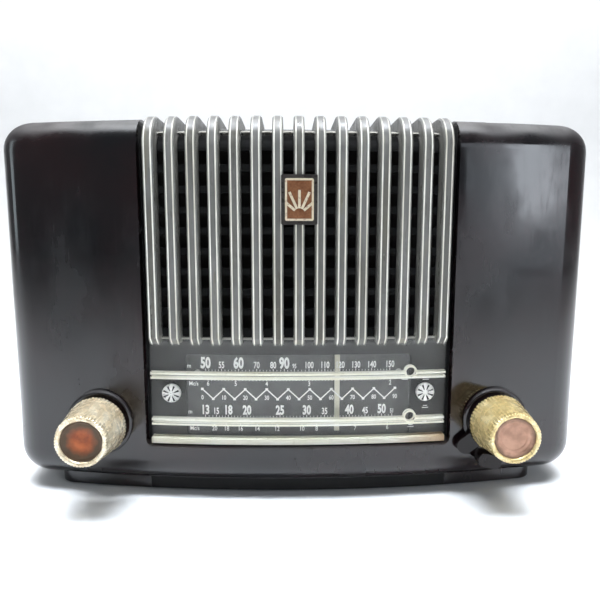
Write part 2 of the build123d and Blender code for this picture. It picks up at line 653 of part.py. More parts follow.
def cord_pulley(x, z):
    """A grooved idler pulley with a running bore."""
    y0 = CORD_Y - PULLEY_W / 2
    y1 = CORD_Y + PULLEY_W / 2
    bore = PULLEY_PIN_R + RUNNING
    return turned([(bore, y0), (PULLEY_FLANGE_R, y0), (PULLEY_FLANGE_R, y0 + 0.5),
                   (PULLEY_GROOVE_R, CORD_Y - 0.8),
                   (PULLEY_GROOVE_R, CORD_Y + 0.8), (PULLEY_FLANGE_R, y1 - 0.5), (PULLEY_FLANGE_R, y1),
                   (bore, y1)], x, z)


def pulley_posts():
    """The shouldered, headed pins of the two idler pulleys, riveted in the chassis front."""
    pins = []
    for x, z in ((PULLEY_LEFT_X, PULLEY_LEFT_Z), (PULLEY_RIGHT_X, PULLEY_RIGHT_Z)):
        front = CORD_Y - PULLEY_W / 2 - GAP
        back = CORD_Y + PULLEY_W / 2 + GAP
        pin = rod(x, z, front - 0.8, front, 3.0)
        pin += rod(x, z, front, back, PULLEY_PIN_R)
        pin += rod(x, z, back, PANEL_Y, 3.2)
        pins.append(pin)
    return group(pins)


# ---------------------------------------------------------------- controls
def knob(x):
    """A tapered, fluted knob with a recess for its insert, a blind bore and a grub-screw hole."""
    middle = KNOB_BACK_Y - KNOB_LENGTH / 2
    body = Pos(x, middle, KNOB_Z) * Rot(90, 0, 0) * Cone(KNOB_BACK_R, KNOB_FRONT_R, KNOB_LENGTH)
    lean = math.degrees(math.atan((KNOB_BACK_R - KNOB_FRONT_R) / KNOB_LENGTH))
    groove = Rot(90 + lean, 0, 0) * Cylinder(FLUTE_R, KNOB_LENGTH + 4)
    groove = Pos(0, 0, (KNOB_BACK_R + KNOB_FRONT_R) / 2 + 0.25) * groove
    step = 360 / KNOB_FLUTES
    grooves = [Pos(x, middle, KNOB_Z) * Rot(0, step * i, 0) * groove for i in range(KNOB_FLUTES)]
    body = body.cut(*grooves)
    front = KNOB_BACK_Y - KNOB_LENGTH
    body -= rod(x, KNOB_Z, front - 1, front + INSERT_SINK + INSERT_T, KNOB_FRONT_R - KNOB_LIP)
    body -= rod(x, KNOB_Z, spindle_end(), KNOB_BACK_Y + 1, SPINDLE_R)
    return body - post(x, KNOB_BACK_Y - GRUB_FROM_BACK, KNOB_Z - KNOB_BACK_R - 1, KNOB_Z, GRUB_R)


def spindle_end():
    """The front end of each spindle, inside its knob."""
    return KNOB_BACK_Y - KNOB_LENGTH + INSERT_SINK + INSERT_T + KNOB_WEB


def knob_insert(x, dish):
    """The lacquered metal disc let into the knob, turned with a shallow dish and a step."""
    front = KNOB_BACK_Y - KNOB_LENGTH + INSERT_SINK
    radius = KNOB_FRONT_R - KNOB_LIP
    return turned([(0, front + INSERT_T), (0, front + dish), (radius - 3.2, front + dish),
                   (radius - 2.4, front + dish * 0.5), (radius - 0.8, front), (radius, front),
                   (radius, front + INSERT_T)], x, KNOB_Z)


def grub_screw(x):
    """The knob's set screw, from just inside the flutes to the spindle."""
    y = KNOB_BACK_Y - GRUB_FROM_BACK
    screw = post(x, y, KNOB_Z - KNOB_FRONT_R + 0.6, KNOB_Z - SPINDLE_R, GRUB_R)
    return screw - slab(x - 2, x + 2, y - 0.3, y + 0.3, KNOB_Z - KNOB_FRONT_R, KNOB_Z - KNOB_FRONT_R + 1.6)


def tuning_spindle():
    """The tuning spindle, waisted where the cord winds round it."""
    shaft = rod(KNOB_X, KNOB_Z, spindle_end(), PANEL_Y + 14, SPINDLE_R)
    waist = pipe(KNOB_X, KNOB_Z, CORD_Y - 1.7, CORD_Y + 1.7, SPINDLE_R + 1, SPINDLE_GROOVE_R)
    return shaft - waist


def bush(x):
    """A threaded bush through the chassis front, with its nut in front and a flange behind."""
    nut = RegularPolygon(radius=7.0, side_count=6)
    body = rod(x, KNOB_Z, PANEL_Y - 3.2, PANEL_Y + SHEET + 1, BUSH_R)
    body += prism(Pos(x, KNOB_Z) * nut, PANEL_Y - 2.2, PANEL_Y)
    body += rod(x, KNOB_Z, PANEL_Y + SHEET, PANEL_Y + SHEET + 2, 8.0)
    return body


def tuning_bush():
    body = bush(KNOB_X) + rod(KNOB_X, KNOB_Z, PANEL_Y + SHEET, PANEL_Y + 10, 5.5)
    return body - rod(KNOB_X, KNOB_Z, PANEL_Y - 5, PANEL_Y + 15, SPINDLE_R + RUNNING)


def volume_control():
    """The volume potentiometer: bush, round case and three tags below."""
    back = PANEL_Y + SHEET + POT_T
    body = bush(-KNOB_X) + rod(-KNOB_X, KNOB_Z, PANEL_Y + SHEET, back, POT_R)
    body = body + rod(-KNOB_X, KNOB_Z, back - 1, back + 1.5, POT_R - 4)
    for side in (-6, 0, 6):
        x = -KNOB_X + side
        body += slab(x - 1, x + 1, PANEL_Y + 4, PANEL_Y + 4.6, KNOB_Z - POT_R - 4, KNOB_Z - POT_R + 3)
    return body - rod(-KNOB_X, KNOB_Z, PANEL_Y - 5, back - 4, SPINDLE_R + RUNNING)


def volume_spindle():
    return rod(-KNOB_X, KNOB_Z, spindle_end(), PANEL_Y + SHEET + POT_T - 4 - GAP, SPINDLE_R)


def lever_arm(angle, reach, length, width, corner):
    """A flat arm that points from the spindle along angle and ends at reach."""
    outline = RectangleRounded(width, length, corner)
    return Rot(0, 0, angle - 90) * Pos(0, reach - length / 2) * outline


def wave_lever():
    """The wave-change lever behind the tuning knob: a ring with a thumb tab and a small pointing arm."""
    length = LEVER_TAB_R - LEVER_R + 4
    arm = lever_arm(LEVER_TAB_ANGLE, LEVER_TAB_R, length, LEVER_TAB_W, LEVER_TAB_CORNER)
    length = LEVER_PIP_REACH - LEVER_R + 4
    pip = lever_arm(LEVER_PIP_ANGLE, LEVER_PIP_REACH, length, LEVER_PIP_W, LEVER_PIP_W * 0.48)
    spindle = Pos(KNOB_X, KNOB_Z)
    body = prism(spindle * (Circle(LEVER_R) + arm + pip), LEVER_Y, LEVER_Y + LEVER_T)
    length = LEVER_TAB_R - KNOB_BACK_R - 0.8
    pad = lever_arm(LEVER_TAB_ANGLE, LEVER_TAB_R, length, LEVER_TAB_W, min(2.8, length / 2.2))
    body += prism(spindle * pad, LEVER_Y + LEVER_T - LEVER_TAB_T, LEVER_Y + LEVER_T)
    return body - rod(KNOB_X, KNOB_Z, LEVER_Y - 1, LEVER_Y + LEVER_T + 1, WAVE_SHAFT_R)


def wave_shaft():
    """The tubular shaft round the tuning spindle, from the lever to the switch rotor."""
    back = WAVE_ROTOR_Y + WAVE_PLATE_T + 0.6
    return pipe(KNOB_X, KNOB_Z, LEVER_Y, back, WAVE_SHAFT_R, SPINDLE_R + RUNNING)


def wave_post_places():
    return [(KNOB_X - WAVE_POST_X, KNOB_Z - WAVE_POST_Z), (KNOB_X + WAVE_POST_X, KNOB_Z + WAVE_POST_Z)]


def wave_switch_plate():
    """The insulated switch plate with its ring of contacts."""
    outline = RectangleRounded(WAVE_PLATE_W, WAVE_PLATE_H, 3)
    plate = prism(Pos(KNOB_X, KNOB_Z) * outline, WAVE_PLATE_Y, WAVE_PLATE_Y + WAVE_PLATE_T)
    plate -= rod(KNOB_X, KNOB_Z, WAVE_PLATE_Y - 1, WAVE_PLATE_Y + 3, WAVE_SHAFT_R + RUNNING)
    for x, z in wave_post_places():
        plate -= rod(x, z, WAVE_PLATE_Y - 1, WAVE_PLATE_Y + 3, WAVE_RIVET_R)
    return plate


def wave_switch_rotor():
    """The switch's turning disc on the tubular shaft."""
    y = WAVE_ROTOR_Y
    disc = pipe(KNOB_X, KNOB_Z, y, y + WAVE_PLATE_T, 9.0, WAVE_SHAFT_R)
    return disc - slab(KNOB_X - 1.5, KNOB_X + 1.5, y - 1, y + 3, KNOB_Z + 7, KNOB_Z + 12)


def wave_switch_posts():
    """Two stand-offs from the chassis front to the switch plate."""
    posts = []
    for x, z in wave_post_places():
        pillar = rod(x, z, WAVE_PLATE_Y + WAVE_PLATE_T, PANEL_Y, WAVE_POST_R)
        posts.append(pillar + rod(x, z, WAVE_PLATE_Y, PANEL_Y, WAVE_RIVET_R))
    return group(posts)


# ---------------------------------------------------------------- loudspeaker
def speaker_cloth():
    """The cloth stretched on the front of the baffle."""
    return slab(-CLOTH_HALF, CLOTH_HALF, BAFFLE_Y - CLOTH_T, BAFFLE_Y, BAFFLE_LOW_Z + 1, BAFFLE_TOP_Z)


def speaker_baffle():
    """The board that carries the loudspeaker, with its round opening."""
    outline = Rectangle(2 * BAFFLE_HALF, BAFFLE_TOP_Z - BAFFLE_LOW_Z)
    outline = Pos(0, (BAFFLE_LOW_Z + BAFFLE_TOP_Z) / 2) * outline
    board = prism(outline, BAFFLE_Y, BASKET_Y)
    board -= rod(0, SPEAKER_Z, BAFFLE_Y - 1, BAFFLE_Y + BAFFLE_T + 1, SPEAKER_R - 3)
    for x, z in baffle_post_places():
        board -= rod(x, z, BAFFLE_Y - 1, BAFFLE_Y + BAFFLE_T + 1, 1.4)
    return board


def baffle_screws():
    """Four wood screws from behind, through the baffle into the cabinet's posts."""
    screws = []
    for x, z in baffle_post_places():
        head = rod(x, z, BASKET_Y, BASKET_Y + 1.6, 2.8)
        screws.append(head + rod(x, z, BAFFLE_Y - 2, BASKET_Y + 0.5, 1.25))
    return group(screws)


def speaker_basket():
    """The pressed frame: a flange, a windowed cone and a ring that holds the magnet."""
    y = BASKET_Y
    wide = SPEAKER_R - 4
    frame = turned([(wide, y), (SPEAKER_R, y), (SPEAKER_R, y + 1.2), (wide + 1, y + 1.2),
                    (MAGNET_R + 1, y + 21.2),
                    (MAGNET_R + 1, y + 22.4), (10.5, y + 22.4), (10.5, y + 21.2), (MAGNET_R - 0.4, y + 21.2),
                    (wide - 0.6, y + 1.2), (wide, y)], 0, SPEAKER_Z)
    for turn in (45, 135, 225, 315):
        x = 27 * math.cos(math.radians(turn))
        z = SPEAKER_Z + 27 * math.sin(math.radians(turn))
        frame -= rod(x, z, y + 2, y + 30, SPEAKER_WINDOW_R)
    return frame


def speaker_cone():
    """The paper cone with its voice-coil former and dust cap, which moves in and out as one."""
    y = BASKET_Y + CONE_TRAVEL + GAP
    rim = SPEAKER_R - 6.5
    return turned([(0, y + 9.0), (4, y + 9.4), (8.2, y + 11.6), (9.0, y + 12.0), (rim - 2, y + 0.0), (rim, y),
                   (rim, y + 0.6), (rim - 2, y + 0.9), (9.2, y + 13.2), (8.9, y + 13.4), (8.9, y + 24.0),
                   (8.2, y + 24.0), (8.2, y + 12.6), (4, y + 10.2), (0, y + 9.8)], 0, SPEAKER_Z)


def speaker_magnet():
    """The magnet pot with the ring gap for the voice coil."""
    y = BASKET_Y + 22.4
    return turned([(0, y), (7.7, y), (7.7, y + 7), (9.5, y + 7), (9.5, y), (MAGNET_R, y), (MAGNET_R, y + 18),
                   (MAGNET_R - 2, y + 20), (0, y + 20)], 0, SPEAKER_Z)


# ---------------------------------------------------------------- chassis
def chassis():
    """The folded steel chassis: deck, front panel, rear skirt and four foot flanges."""
    half = CHASSIS_HALF
    deck = slab(-half, half, PANEL_Y, DECK_BACK_Y, DECK_Z - SHEET, DECK_Z)
    panel = slab(-half, half, PANEL_Y, PANEL_Y + SHEET, FLOOR_Z, PANEL_TOP_Z)
    panel += slab(-half, PANEL_STEP_X, PANEL_Y, PANEL_Y + SHEET, DECK_Z, PANEL_LEFT_TOP_Z)
    skirt = slab(-half, half, DECK_BACK_Y - SHEET, DECK_BACK_Y, FLOOR_Z, DECK_Z)
    body = deck + panel + skirt
    for x in (-BOLT_X, BOLT_X):
        for y in (PANEL_Y, DECK_BACK_Y - FLANGE_DEPTH):
            body += slab(x - FLANGE_HALF, x + FLANGE_HALF, y, y + FLANGE_DEPTH, FLOOR_Z, FLOOR_Z + SHEET)
        for y in BOLT_YS:
            body -= post(x, y, FLOOR_Z - 1, FLOOR_Z + 3, BOLT_R + 0.1)
    for x in (-KNOB_X, KNOB_X):
        body -= rod(x, KNOB_Z, PANEL_Y - 1, PANEL_Y + 3, BUSH_R + RUNNING)
    body -= rod(DRUM_X, DRUM_Z, PANEL_Y - 1, PANEL_Y + 3, 7.5)
    for x in VALVE_XS:
        body -= post(x, VALVE_Y, DECK_Z - 3, DECK_Z + 1, 9.0)
    for x in lamp_places():
        body -= rod(x, LAMP_Z, PANEL_Y - 1, PANEL_Y + 3, 4.0)
    for x in socket_places():
        body -= rod(x, SOCKET_Z, DECK_BACK_Y - 3, DECK_BACK_Y + 1, 4.5)
    return body


def chassis_bolts():
    """Four bolts from below, through the cabinet's floor into nuts on the chassis flanges."""
    bolts = []
    for x in (-BOLT_X, BOLT_X):
        for y in BOLT_YS:
            bolt = post(x, y, BODY_Z - 2.2, BODY_Z, 3.6) + post(x, y, BODY_Z - 1, FLOOR_Z + SHEET + 5, BOLT_R)
            nut = extrude(Pos(x, y, FLOOR_Z + SHEET) * RegularPolygon(radius=4.0, side_count=6), amount=3)
            bolts.append(bolt + nut)
    return group(bolts)


def lamp_places():
    return [-LAMP_X, LAMP_X]


def lamp_holders():
    """Two bayonet holders for the dial lamps, through the chassis front."""
    holders = []
    for x in lamp_places():
        shell = pipe(x, LAMP_Z, PANEL_Y - 6, PANEL_Y + 6, LAMP_R + 0.6, LAMP_R)
        holders.append(shell + rod(x, LAMP_Z, PANEL_Y + 4, PANEL_Y + 8, LAMP_R + 0.6))
    return group(holders)


def lamp_bulbs():
    """Two small tubular dial lamps in their holders."""
    bulbs = []
    for x in lamp_places():
        glass = rod(x, LAMP_Z, PANEL_Y - 15, PANEL_Y - 4, LAMP_R)
        glass = fillet(glass.edges().group_by(Axis.Y)[0], 2.8)
        bulbs.append(glass + rod(x, LAMP_Z, PANEL_Y - 5, PANEL_Y + 4, LAMP_R - RUNNING))
    return group(bulbs)


def valve_sockets():
    """Five round moulded valve sockets let into the deck."""
    sockets = []
    for x in VALVE_XS:
        rim = post(x, VALVE_Y, DECK_Z, DECK_Z + VALVE_SOCKET_H, VALVE_R + 1.5)
        sockets.append(rim + post(x, VALVE_Y, DECK_Z - 8, DECK_Z + 1, 8.9))
    return group(sockets)


def valve_bases():
    """The metal base collars of the five valves."""
    low = DECK_Z + VALVE_SOCKET_H
    return group(post(x, VALVE_Y, low, VALVE_GLASS_Z, VALVE_R) for x in VALVE_XS)


def valve_glasses():
    """The five glass bulbs, domed, with a pip on top."""
    bulbs = []
    z0 = VALVE_GLASS_Z
    z1 = z0 + VALVE_GLASS_H
    for x in VALVE_XS:
        bulb = post(x, VALVE_Y, z0, z1, VALVE_R - 0.6)
        bulb = fillet(bulb.edges().group_by(Axis.Z)[-1], 7.0)
        bulb += Pos(x, VALVE_Y, z1) * Sphere(2.0)
        bulb -= post(x, VALVE_Y, z0 - 1, z1 - 8, VALVE_R - 1.6)
        bulbs.append(bulb)
    return group(bulbs)


def valve_electrodes():
    """The anode and its stays inside each valve."""
    stacks = []
    z0 = VALVE_GLASS_Z
    top = z0 + VALVE_GLASS_H - 18
    for x in VALVE_XS:
        anode = post(x, VALVE_Y, z0 + 8, top, ANODE_R)
        stays = post(x - 3, VALVE_Y, z0, z0 + 9, 0.6) + post(x + 3, VALVE_Y, z0, z0 + 9, 0.6)
        mica = post(x, VALVE_Y, top, top + 1, MICA_R)
        stacks.append(anode + stays + mica)
    return group(stacks)


def gang_frame():
    """The tuning capacitor's frame: base, two bearing plates and a stay."""
    half = GANG_W / 2
    y1 = GANG_Y + GANG_LENGTH
    base = slab(DRUM_X - half, DRUM_X + half, GANG_Y, y1, DECK_Z, DECK_Z + 1.6)
    ends = slab(DRUM_X - half, DRUM_X + half, GANG_Y, GANG_Y + 1.6, DECK_Z, DECK_Z + GANG_H)
    ends += slab(DRUM_X - half, DRUM_X + half, y1 - 1.6, y1, DECK_Z, DECK_Z + GANG_H)
    stay = rod(DRUM_X - half + 2.5, DECK_Z + GANG_H - 3, GANG_Y, y1, 1.5)
    body = base + ends + stay
    return body - rod(DRUM_X, DRUM_Z, GANG_Y - 1, y1 + 1, SPINDLE_R + RUNNING)


def vane_places(offset):
    """The y of each plate's front face, in two banks."""
    middle = GANG_Y + GANG_LENGTH / 2
    bank = (VANES_PER_BANK - 1) * VANE_PITCH
    starts = (middle - bank - 3.0, middle + 3.0)
    return [start + offset + i * VANE_PITCH for start in starts for i in range(VANES_PER_BANK)]


def gang_stator():
    """The fixed half-round plates, held by two bars on insulating blocks."""
    y0 = GANG_Y + 1.6
    y1 = GANG_Y + GANG_LENGTH - 1.6
    bars = slab(DRUM_X - 19, DRUM_X - 16.6, y0, y1, DRUM_Z - 6, DRUM_Z - 3)
    bars += slab(DRUM_X - 19, DRUM_X - 16.6, y0, y1, DRUM_Z + 3, DRUM_Z + 6)
    plates = []
    for y in vane_places(-VANE_PITCH / 2):
        plate = pipe(DRUM_X, DRUM_Z, y, y + VANE_T, VANE_R + 1.6, 6.0)
        plates.append(plate & slab(DRUM_X - 30, DRUM_X - 0.5, y - 1, y + 2, DRUM_Z - 30, DRUM_Z + 30))
    return bars.fuse(*plates)


def gang_rotor():
    """The shaft with its half-round plates. At the low end of the dial they lie among the fixed ones."""
    y1 = GANG_Y + GANG_LENGTH
    shaft = rod(DRUM_X, DRUM_Z, CORD_Y - 3.0, y1 - 0.2, SPINDLE_R)
    plates = []
    for y in vane_places(0.0):
        plate = rod(DRUM_X, DRUM_Z, y, y + VANE_T, VANE_R)
        plate &= slab(DRUM_X - 30, DRUM_X, y - 1, y + 2, DRUM_Z - 30, DRUM_Z + 30)
        plates.append(Pos(DRUM_X, 0, DRUM_Z) * Rot(0, REST_TURN, 0) * Pos(-DRUM_X, 0, -DRUM_Z) * plate)
    return shaft.fuse(*plates)


def output_transformer():
    """The output transformer: a laminated core with its bobbin and two feet."""
    x0 = TRANSFORMER_X
    x1 = x0 + CORE_W
    middle = GANG_Y + 1 + BOBBIN_D / 2
    z = DECK_Z + 1
    core = slab(x0, x1, middle - CORE_D / 2, middle + CORE_D / 2, z, z + CORE_H)
    bobbin = slab(x0 + BOBBIN_IN, x1 - BOBBIN_IN, middle - BOBBIN_D / 2, middle + BOBBIN_D / 2,
                  z + 6, z + CORE_H - 6)
    lugs = slab(x0 - 6, x1 + 6, middle - CORE_D / 2, middle + CORE_D / 2, DECK_Z, z)
    return core + bobbin + lugs


def if_cans():
    """Two screening cans of the intermediate-frequency transformers."""
    cans = []
    y = GANG_Y + 16
    for x in CAN_XS:
        can = slab(x - CAN_SIDE / 2, x + CAN_SIDE / 2, y, y + CAN_SIDE, DECK_Z, DECK_Z + CAN_H)
        cans.append(fillet(can.edges().filter_by(Axis.Z) + can.edges().group_by(Axis.Z)[-1], 2.5))
    return group(cans)


def smoothing_capacitor():
    """The upright electrolytic can, with its rolled rim."""
    top = DECK_Z + CAPACITOR_H
    can = post(CAPACITOR_X, VALVE_Y, DECK_Z, top, CAPACITOR_R)
    can = fillet(can.edges().group_by(Axis.Z)[-1], 1.5)
    return can - post(CAPACITOR_X, VALVE_Y, top - 1, top + 1, CAPACITOR_R - 2.5)


def mains_dropper():
    """The wire-wound dropping resistor: a ceramic tube with bands, on its bolt."""
    y = GANG_Y + 42
    body = post(DROPPER_X, y, DECK_Z + 3, DECK_Z + DROPPER_H - 4, DROPPER_R)
    body += post(DROPPER_X, y, DECK_Z, DECK_Z + DROPPER_H, 2.0)
    for z in (6, 30, 54):
        body += post(DROPPER_X, y, DECK_Z + z, DECK_Z + z + 2.5, DROPPER_R + 0.6)
    return body


def lying(x, radius, length):
    """A round bar along X in the coil's place below the deck."""
    return Pos(x, UNDER_DECK_Y, DECK_Z - COIL_DROP) * Rot(0, 90, 0) * Cylinder(radius, length)


def aerial_coil():
    """The aerial coil's former below the deck, clipped to it at each end."""
    former = lying(COIL_X, COIL_R, COIL_LENGTH) - lying(COIL_X, COIL_R - 1.2, COIL_LENGTH + 4)
    for x in (COIL_X - COIL_LENGTH / 2 + 3, COIL_X + COIL_LENGTH / 2 - 3):
        former += slab(x - 1.5, x + 1.5, UNDER_DECK_Y - 3, UNDER_DECK_Y + 3,
                       DECK_Z - COIL_DROP + COIL_R - 1, DECK_Z - SHEET)
    return former


def aerial_coil_winding():
    """Two windings on the aerial coil's former."""
    return group(lying(x, COIL_R + WINDING_T, length) - lying(x, COIL_R, length + 2)
                 for x, length in WINDINGS)


def tag_board():
    """The tag board below the deck, standing on two spacers."""
    x0, x1 = TAG_X
    z = DECK_Z - TAG_DROP
    board = slab(x0, x1, UNDER_DECK_Y - TAG_HALF, UNDER_DECK_Y + TAG_HALF, z, z + TAG_T)
    for x in (x0 + 4, x1 - 4):
        board += post(x, UNDER_DECK_Y, z + 1, DECK_Z - SHEET, 2.0)
    return board


def wax_capacitors():
    """Four wax-paper capacitors lying on the tag board's underside."""
    bodies = []
    for i in range(4):
        place = Pos(TAG_X[0] + 9 + WAX_PITCH * i, UNDER_DECK_Y, DECK_Z - TAG_DROP - WAX_R) * Rot(90, 0, 0)
        bodies.append(place * Cylinder(WAX_R, WAX_LENGTH) + place * Cylinder(0.5, WAX_LENGTH + 6))
    return group(bodies)


# ---------------------------------------------------------------- rear
def socket_places():
    return [SOCKET_X - SOCKET_SPACING / 2, SOCKET_X + SOCKET_SPACING / 2]


def socket_strip():
    """The insulating strip for the aerial and earth sockets, behind the chassis skirt."""
    outline = Pos(SOCKET_X, SOCKET_Z) * RectangleRounded(42, 16, 2)
    strip = prism(outline, DECK_BACK_Y, DECK_BACK_Y + 2)
    for x in socket_places():
        strip -= rod(x, SOCKET_Z, DECK_BACK_Y - 1, DECK_BACK_Y + 3, 3.5)
    return strip


def socket_tubes():
    """The two brass sockets, bored for 4 mm plugs."""
    y1 = DECK_BACK_Y + 4.0
    y0 = y1 - SOCKET_LENGTH
    tubes = []
    for x in socket_places():
        body = rod(x, SOCKET_Z, y0 - 1.5, y1, 3.5) + rod(x, SOCKET_Z, DECK_BACK_Y + 2, y1, 5.0)
        tubes.append(body - rod(x, SOCKET_Z, y0, y1 + 1, SOCKET_BORE_R))
    return group(tubes)


def rear_cover():
    """The pressed-board back with its vent slots, socket window and cord hole."""
    sheet = block(WALL + COVER_GAP, back=Y_BACK + SPARE)
    sheet &= slab(-WIDTH, WIDTH, COVER_Y, COVER_Y + COVER_T, 0, HEIGHT)
    through = (COVER_Y - 1, COVER_Y + COVER_T + 1)
    pitch = (2 * COVER_SCREW_X - 30) / VENT_COLUMNS
    vent = SlotOverall(pitch - 9, VENT_H)
    slots = []
    for row in range(int((HEIGHT - VENT_TOP_IN - VENT_Z) / VENT_PITCH)):
        for column in range(VENT_COLUMNS):
            place = Pos((column - (VENT_COLUMNS - 1) / 2) * pitch, VENT_Z + VENT_PITCH * row)
            slots.append(prism(place * vent, *through))
    window = RectangleRounded(48, 20, 3)
    slots.append(prism(Pos(SOCKET_X, SOCKET_Z) * window, *through))
    slots.append(rod(GROMMET_X, GROMMET_Z, *through, GROMMET_R))
    for x in (-COVER_SCREW_X, COVER_SCREW_X):
        for z in COVER_SCREW_ZS:
            slots.append(rod(x, z, *through, COVER_SCREW_R + GAP))
    return sheet.cut(*slots)


def rear_cover_screws():
    """Four screws into the cabinet's rear bosses, their heads level with the rim."""
    screws = []
    head_y = COVER_Y + COVER_T
    for x in (-COVER_SCREW_X, COVER_SCREW_X):
        for z in COVER_SCREW_ZS:
            head = rod(x, z, head_y, Y_BACK, 3.4)
            head -= slab(x - 4, x + 4, Y_BACK - 0.8, Y_BACK + 1, z - 0.45, z + 0.45)
            screws.append(head + rod(x, z, COVER_Y - 8, head_y + 0.5, COVER_SCREW_R))
    return group(screws)


def mains_grommet():
    """The rubber grommet that the mains cord passes through."""
    y0 = COVER_Y - 1.5
    y1 = COVER_Y + COVER_T + 1.5
    lip = GROMMET_R + GROMMET_LIP
    return turned([(GROMMET_BORE_R, y0), (lip, y0), (lip, COVER_Y), (GROMMET_R, COVER_Y),
                   (GROMMET_R, COVER_Y + COVER_T), (lip, COVER_Y + COVER_T), (lip, y1),
                   (GROMMET_BORE_R, y1)], GROMMET_X, GROMMET_Z)


# ---------------------------------------------------------------- the set
parts = {
    "cabinet": cabinet(),
    "feet": feet(),
    "front_moulding": front_moulding(),
    "scale_screws": scale_screws(),
    "badge_plate": badge_plate(),
    "badge_emblem": badge_emblem(),
    "scale_backplate": scale_backplate(),
    "scale_pillars": scale_pillars(),
    "pointer": pointer(),
    "drive_cord": drive_cord(),
    "drive_drum": drive_drum(),
    "drum_spring": drum_spring(),
    "cord_pulley_left": cord_pulley(PULLEY_LEFT_X, PULLEY_LEFT_Z),
    "cord_pulley_right": cord_pulley(PULLEY_RIGHT_X, PULLEY_RIGHT_Z),
    "pulley_posts": pulley_posts(),
    "tuning_knob": knob(KNOB_X),
    "tuning_knob_insert": knob_insert(KNOB_X, 0.9),
    "tuning_grub_screw": grub_screw(KNOB_X),
    "tuning_spindle": tuning_spindle(),
    "tuning_bush": tuning_bush(),
    "volume_knob": knob(-KNOB_X),
    "volume_knob_insert": knob_insert(-KNOB_X, 0.7),
    "volume_grub_screw": grub_screw(-KNOB_X),
    "volume_spindle": volume_spindle(),
    "volume_control": volume_control(),
    "wave_lever": wave_lever(),
    "wave_shaft": wave_shaft(),
    "wave_switch_plate": wave_switch_plate(),
    "wave_switch_rotor": wave_switch_rotor(),
    "wave_switch_posts": wave_switch_posts(),
    "speaker_cloth": speaker_cloth(),
    "speaker_baffle": speaker_baffle(),
    "baffle_screws": baffle_screws(),
    "speaker_basket": speaker_basket(),
    "speaker_cone": speaker_cone(),
    "speaker_magnet": speaker_magnet(),
    "chassis": chassis(),
    "chassis_bolts": chassis_bolts(),
    "lamp_holders": lamp_holders(),
    "lamp_bulbs": lamp_bulbs(),
    "valve_sockets": valve_sockets(),
    "valve_bases": valve_bases(),
    "valve_glasses": valve_glasses(),
    "valve_electrodes": valve_electrodes(),
    "gang_frame": gang_frame(),
    "gang_stator": gang_stator(),
    "gang_rotor": gang_rotor(),
    "output_transformer": output_transformer(),
    "if_cans": if_cans(),
    "smoothing_capacitor": smoothing_capacitor(),
    "mains_dropper": mains_dropper(),
    "aerial_coil": aerial_coil(),
    "aerial_coil_winding": aerial_coil_winding(),
    "tag_board": tag_board(),
    "wax_capacitors": wax_capacitors(),
    "socket_strip": socket_strip(),
    "socket_tubes": socket_tubes(),
    "rear_cover": rear_cover(),
    "rear_cover_screws": rear_cover_screws(),
    "mains_grommet": mains_grommet(),
}

os.makedirs("parts", exist_ok=True)
for name, shape in parts.items():
    export_step(shape, f"parts/{name}.step")
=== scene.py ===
import math

import bmesh
import bpy
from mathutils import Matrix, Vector, noise


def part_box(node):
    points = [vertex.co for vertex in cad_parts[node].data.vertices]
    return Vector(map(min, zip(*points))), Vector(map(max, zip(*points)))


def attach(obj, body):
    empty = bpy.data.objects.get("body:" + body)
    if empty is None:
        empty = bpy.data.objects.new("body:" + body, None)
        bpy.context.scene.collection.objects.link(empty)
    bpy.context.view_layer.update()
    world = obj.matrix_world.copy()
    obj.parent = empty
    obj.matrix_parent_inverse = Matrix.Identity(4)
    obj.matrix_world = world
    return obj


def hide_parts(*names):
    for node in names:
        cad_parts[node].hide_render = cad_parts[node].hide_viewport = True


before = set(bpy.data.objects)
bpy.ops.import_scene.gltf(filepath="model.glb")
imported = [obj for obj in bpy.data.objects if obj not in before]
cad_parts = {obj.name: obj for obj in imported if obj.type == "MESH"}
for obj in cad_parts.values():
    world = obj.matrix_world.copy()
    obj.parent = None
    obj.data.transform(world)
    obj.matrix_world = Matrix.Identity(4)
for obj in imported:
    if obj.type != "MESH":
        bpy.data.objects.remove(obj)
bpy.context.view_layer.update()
MM = 0.001

# ---- Cabinet -------------------------------------------------------------------------------
# One phenolic moulding, nearly black with a burgundy cast, polished in the mould and since
# dulled by handling. Collars, louvres, bosses and plinth are moulded in with it.
cabinet_low, cabinet_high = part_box("cabinet")
FRONT = cabinet_low.y
TOP = cabinet_high.z
BOW_RADIUS = 600 * MM
# The pocket behind the ribs. Each pair of millimetres is where the polish, and the painted shade in the
# pocket, start to fade and end.
POCKET_NEAR, POCKET_FAR, POCKET_SIDE, POCKET_RIM = (4.6, 5.4), (34, 36), (69.4, 69.8), (4, 2)


def start_finish(name):
    """A new node material with its object coordinates, which are the set's own metres."""
    material = bpy.data.materials.new(name)
    material.use_nodes = True
    tree = material.node_tree
    where = tree.nodes.new("ShaderNodeTexCoord").outputs["Object"]
    return material, tree, tree.nodes["Principled BSDF"], where


def cloudy(tree, where, size_mm, detail=4.0, stretch=(1, 1, 1)):
    """Noise whose clouds are about size_mm across, drawn out along an axis by stretch."""
    mapping = tree.nodes.new("ShaderNodeMapping")
    mapping.inputs["Scale"].default_value = [1 / (size_mm * MM * s) for s in stretch]
    cloud = tree.nodes.new("ShaderNodeTexNoise")
    cloud.inputs["Scale"].default_value = 1.0
    cloud.inputs["Detail"].default_value = detail
    tree.links.new(where, mapping.inputs["Vector"])
    tree.links.new(mapping.outputs["Vector"], cloud.inputs["Vector"])
    return cloud.outputs["Fac"]


def spread(tree, value, low, high, start=0.35, end=0.65):
    """Value from start to end, spread over low to high."""
    node = tree.nodes.new("ShaderNodeMapRange")
    for socket, number in zip(("From Min", "From Max", "To Min", "To Max"), (start, end, low, high)):
        node.inputs[socket].default_value = number
    tree.links.new(value, node.inputs["Value"])
    return node.outputs["Result"]


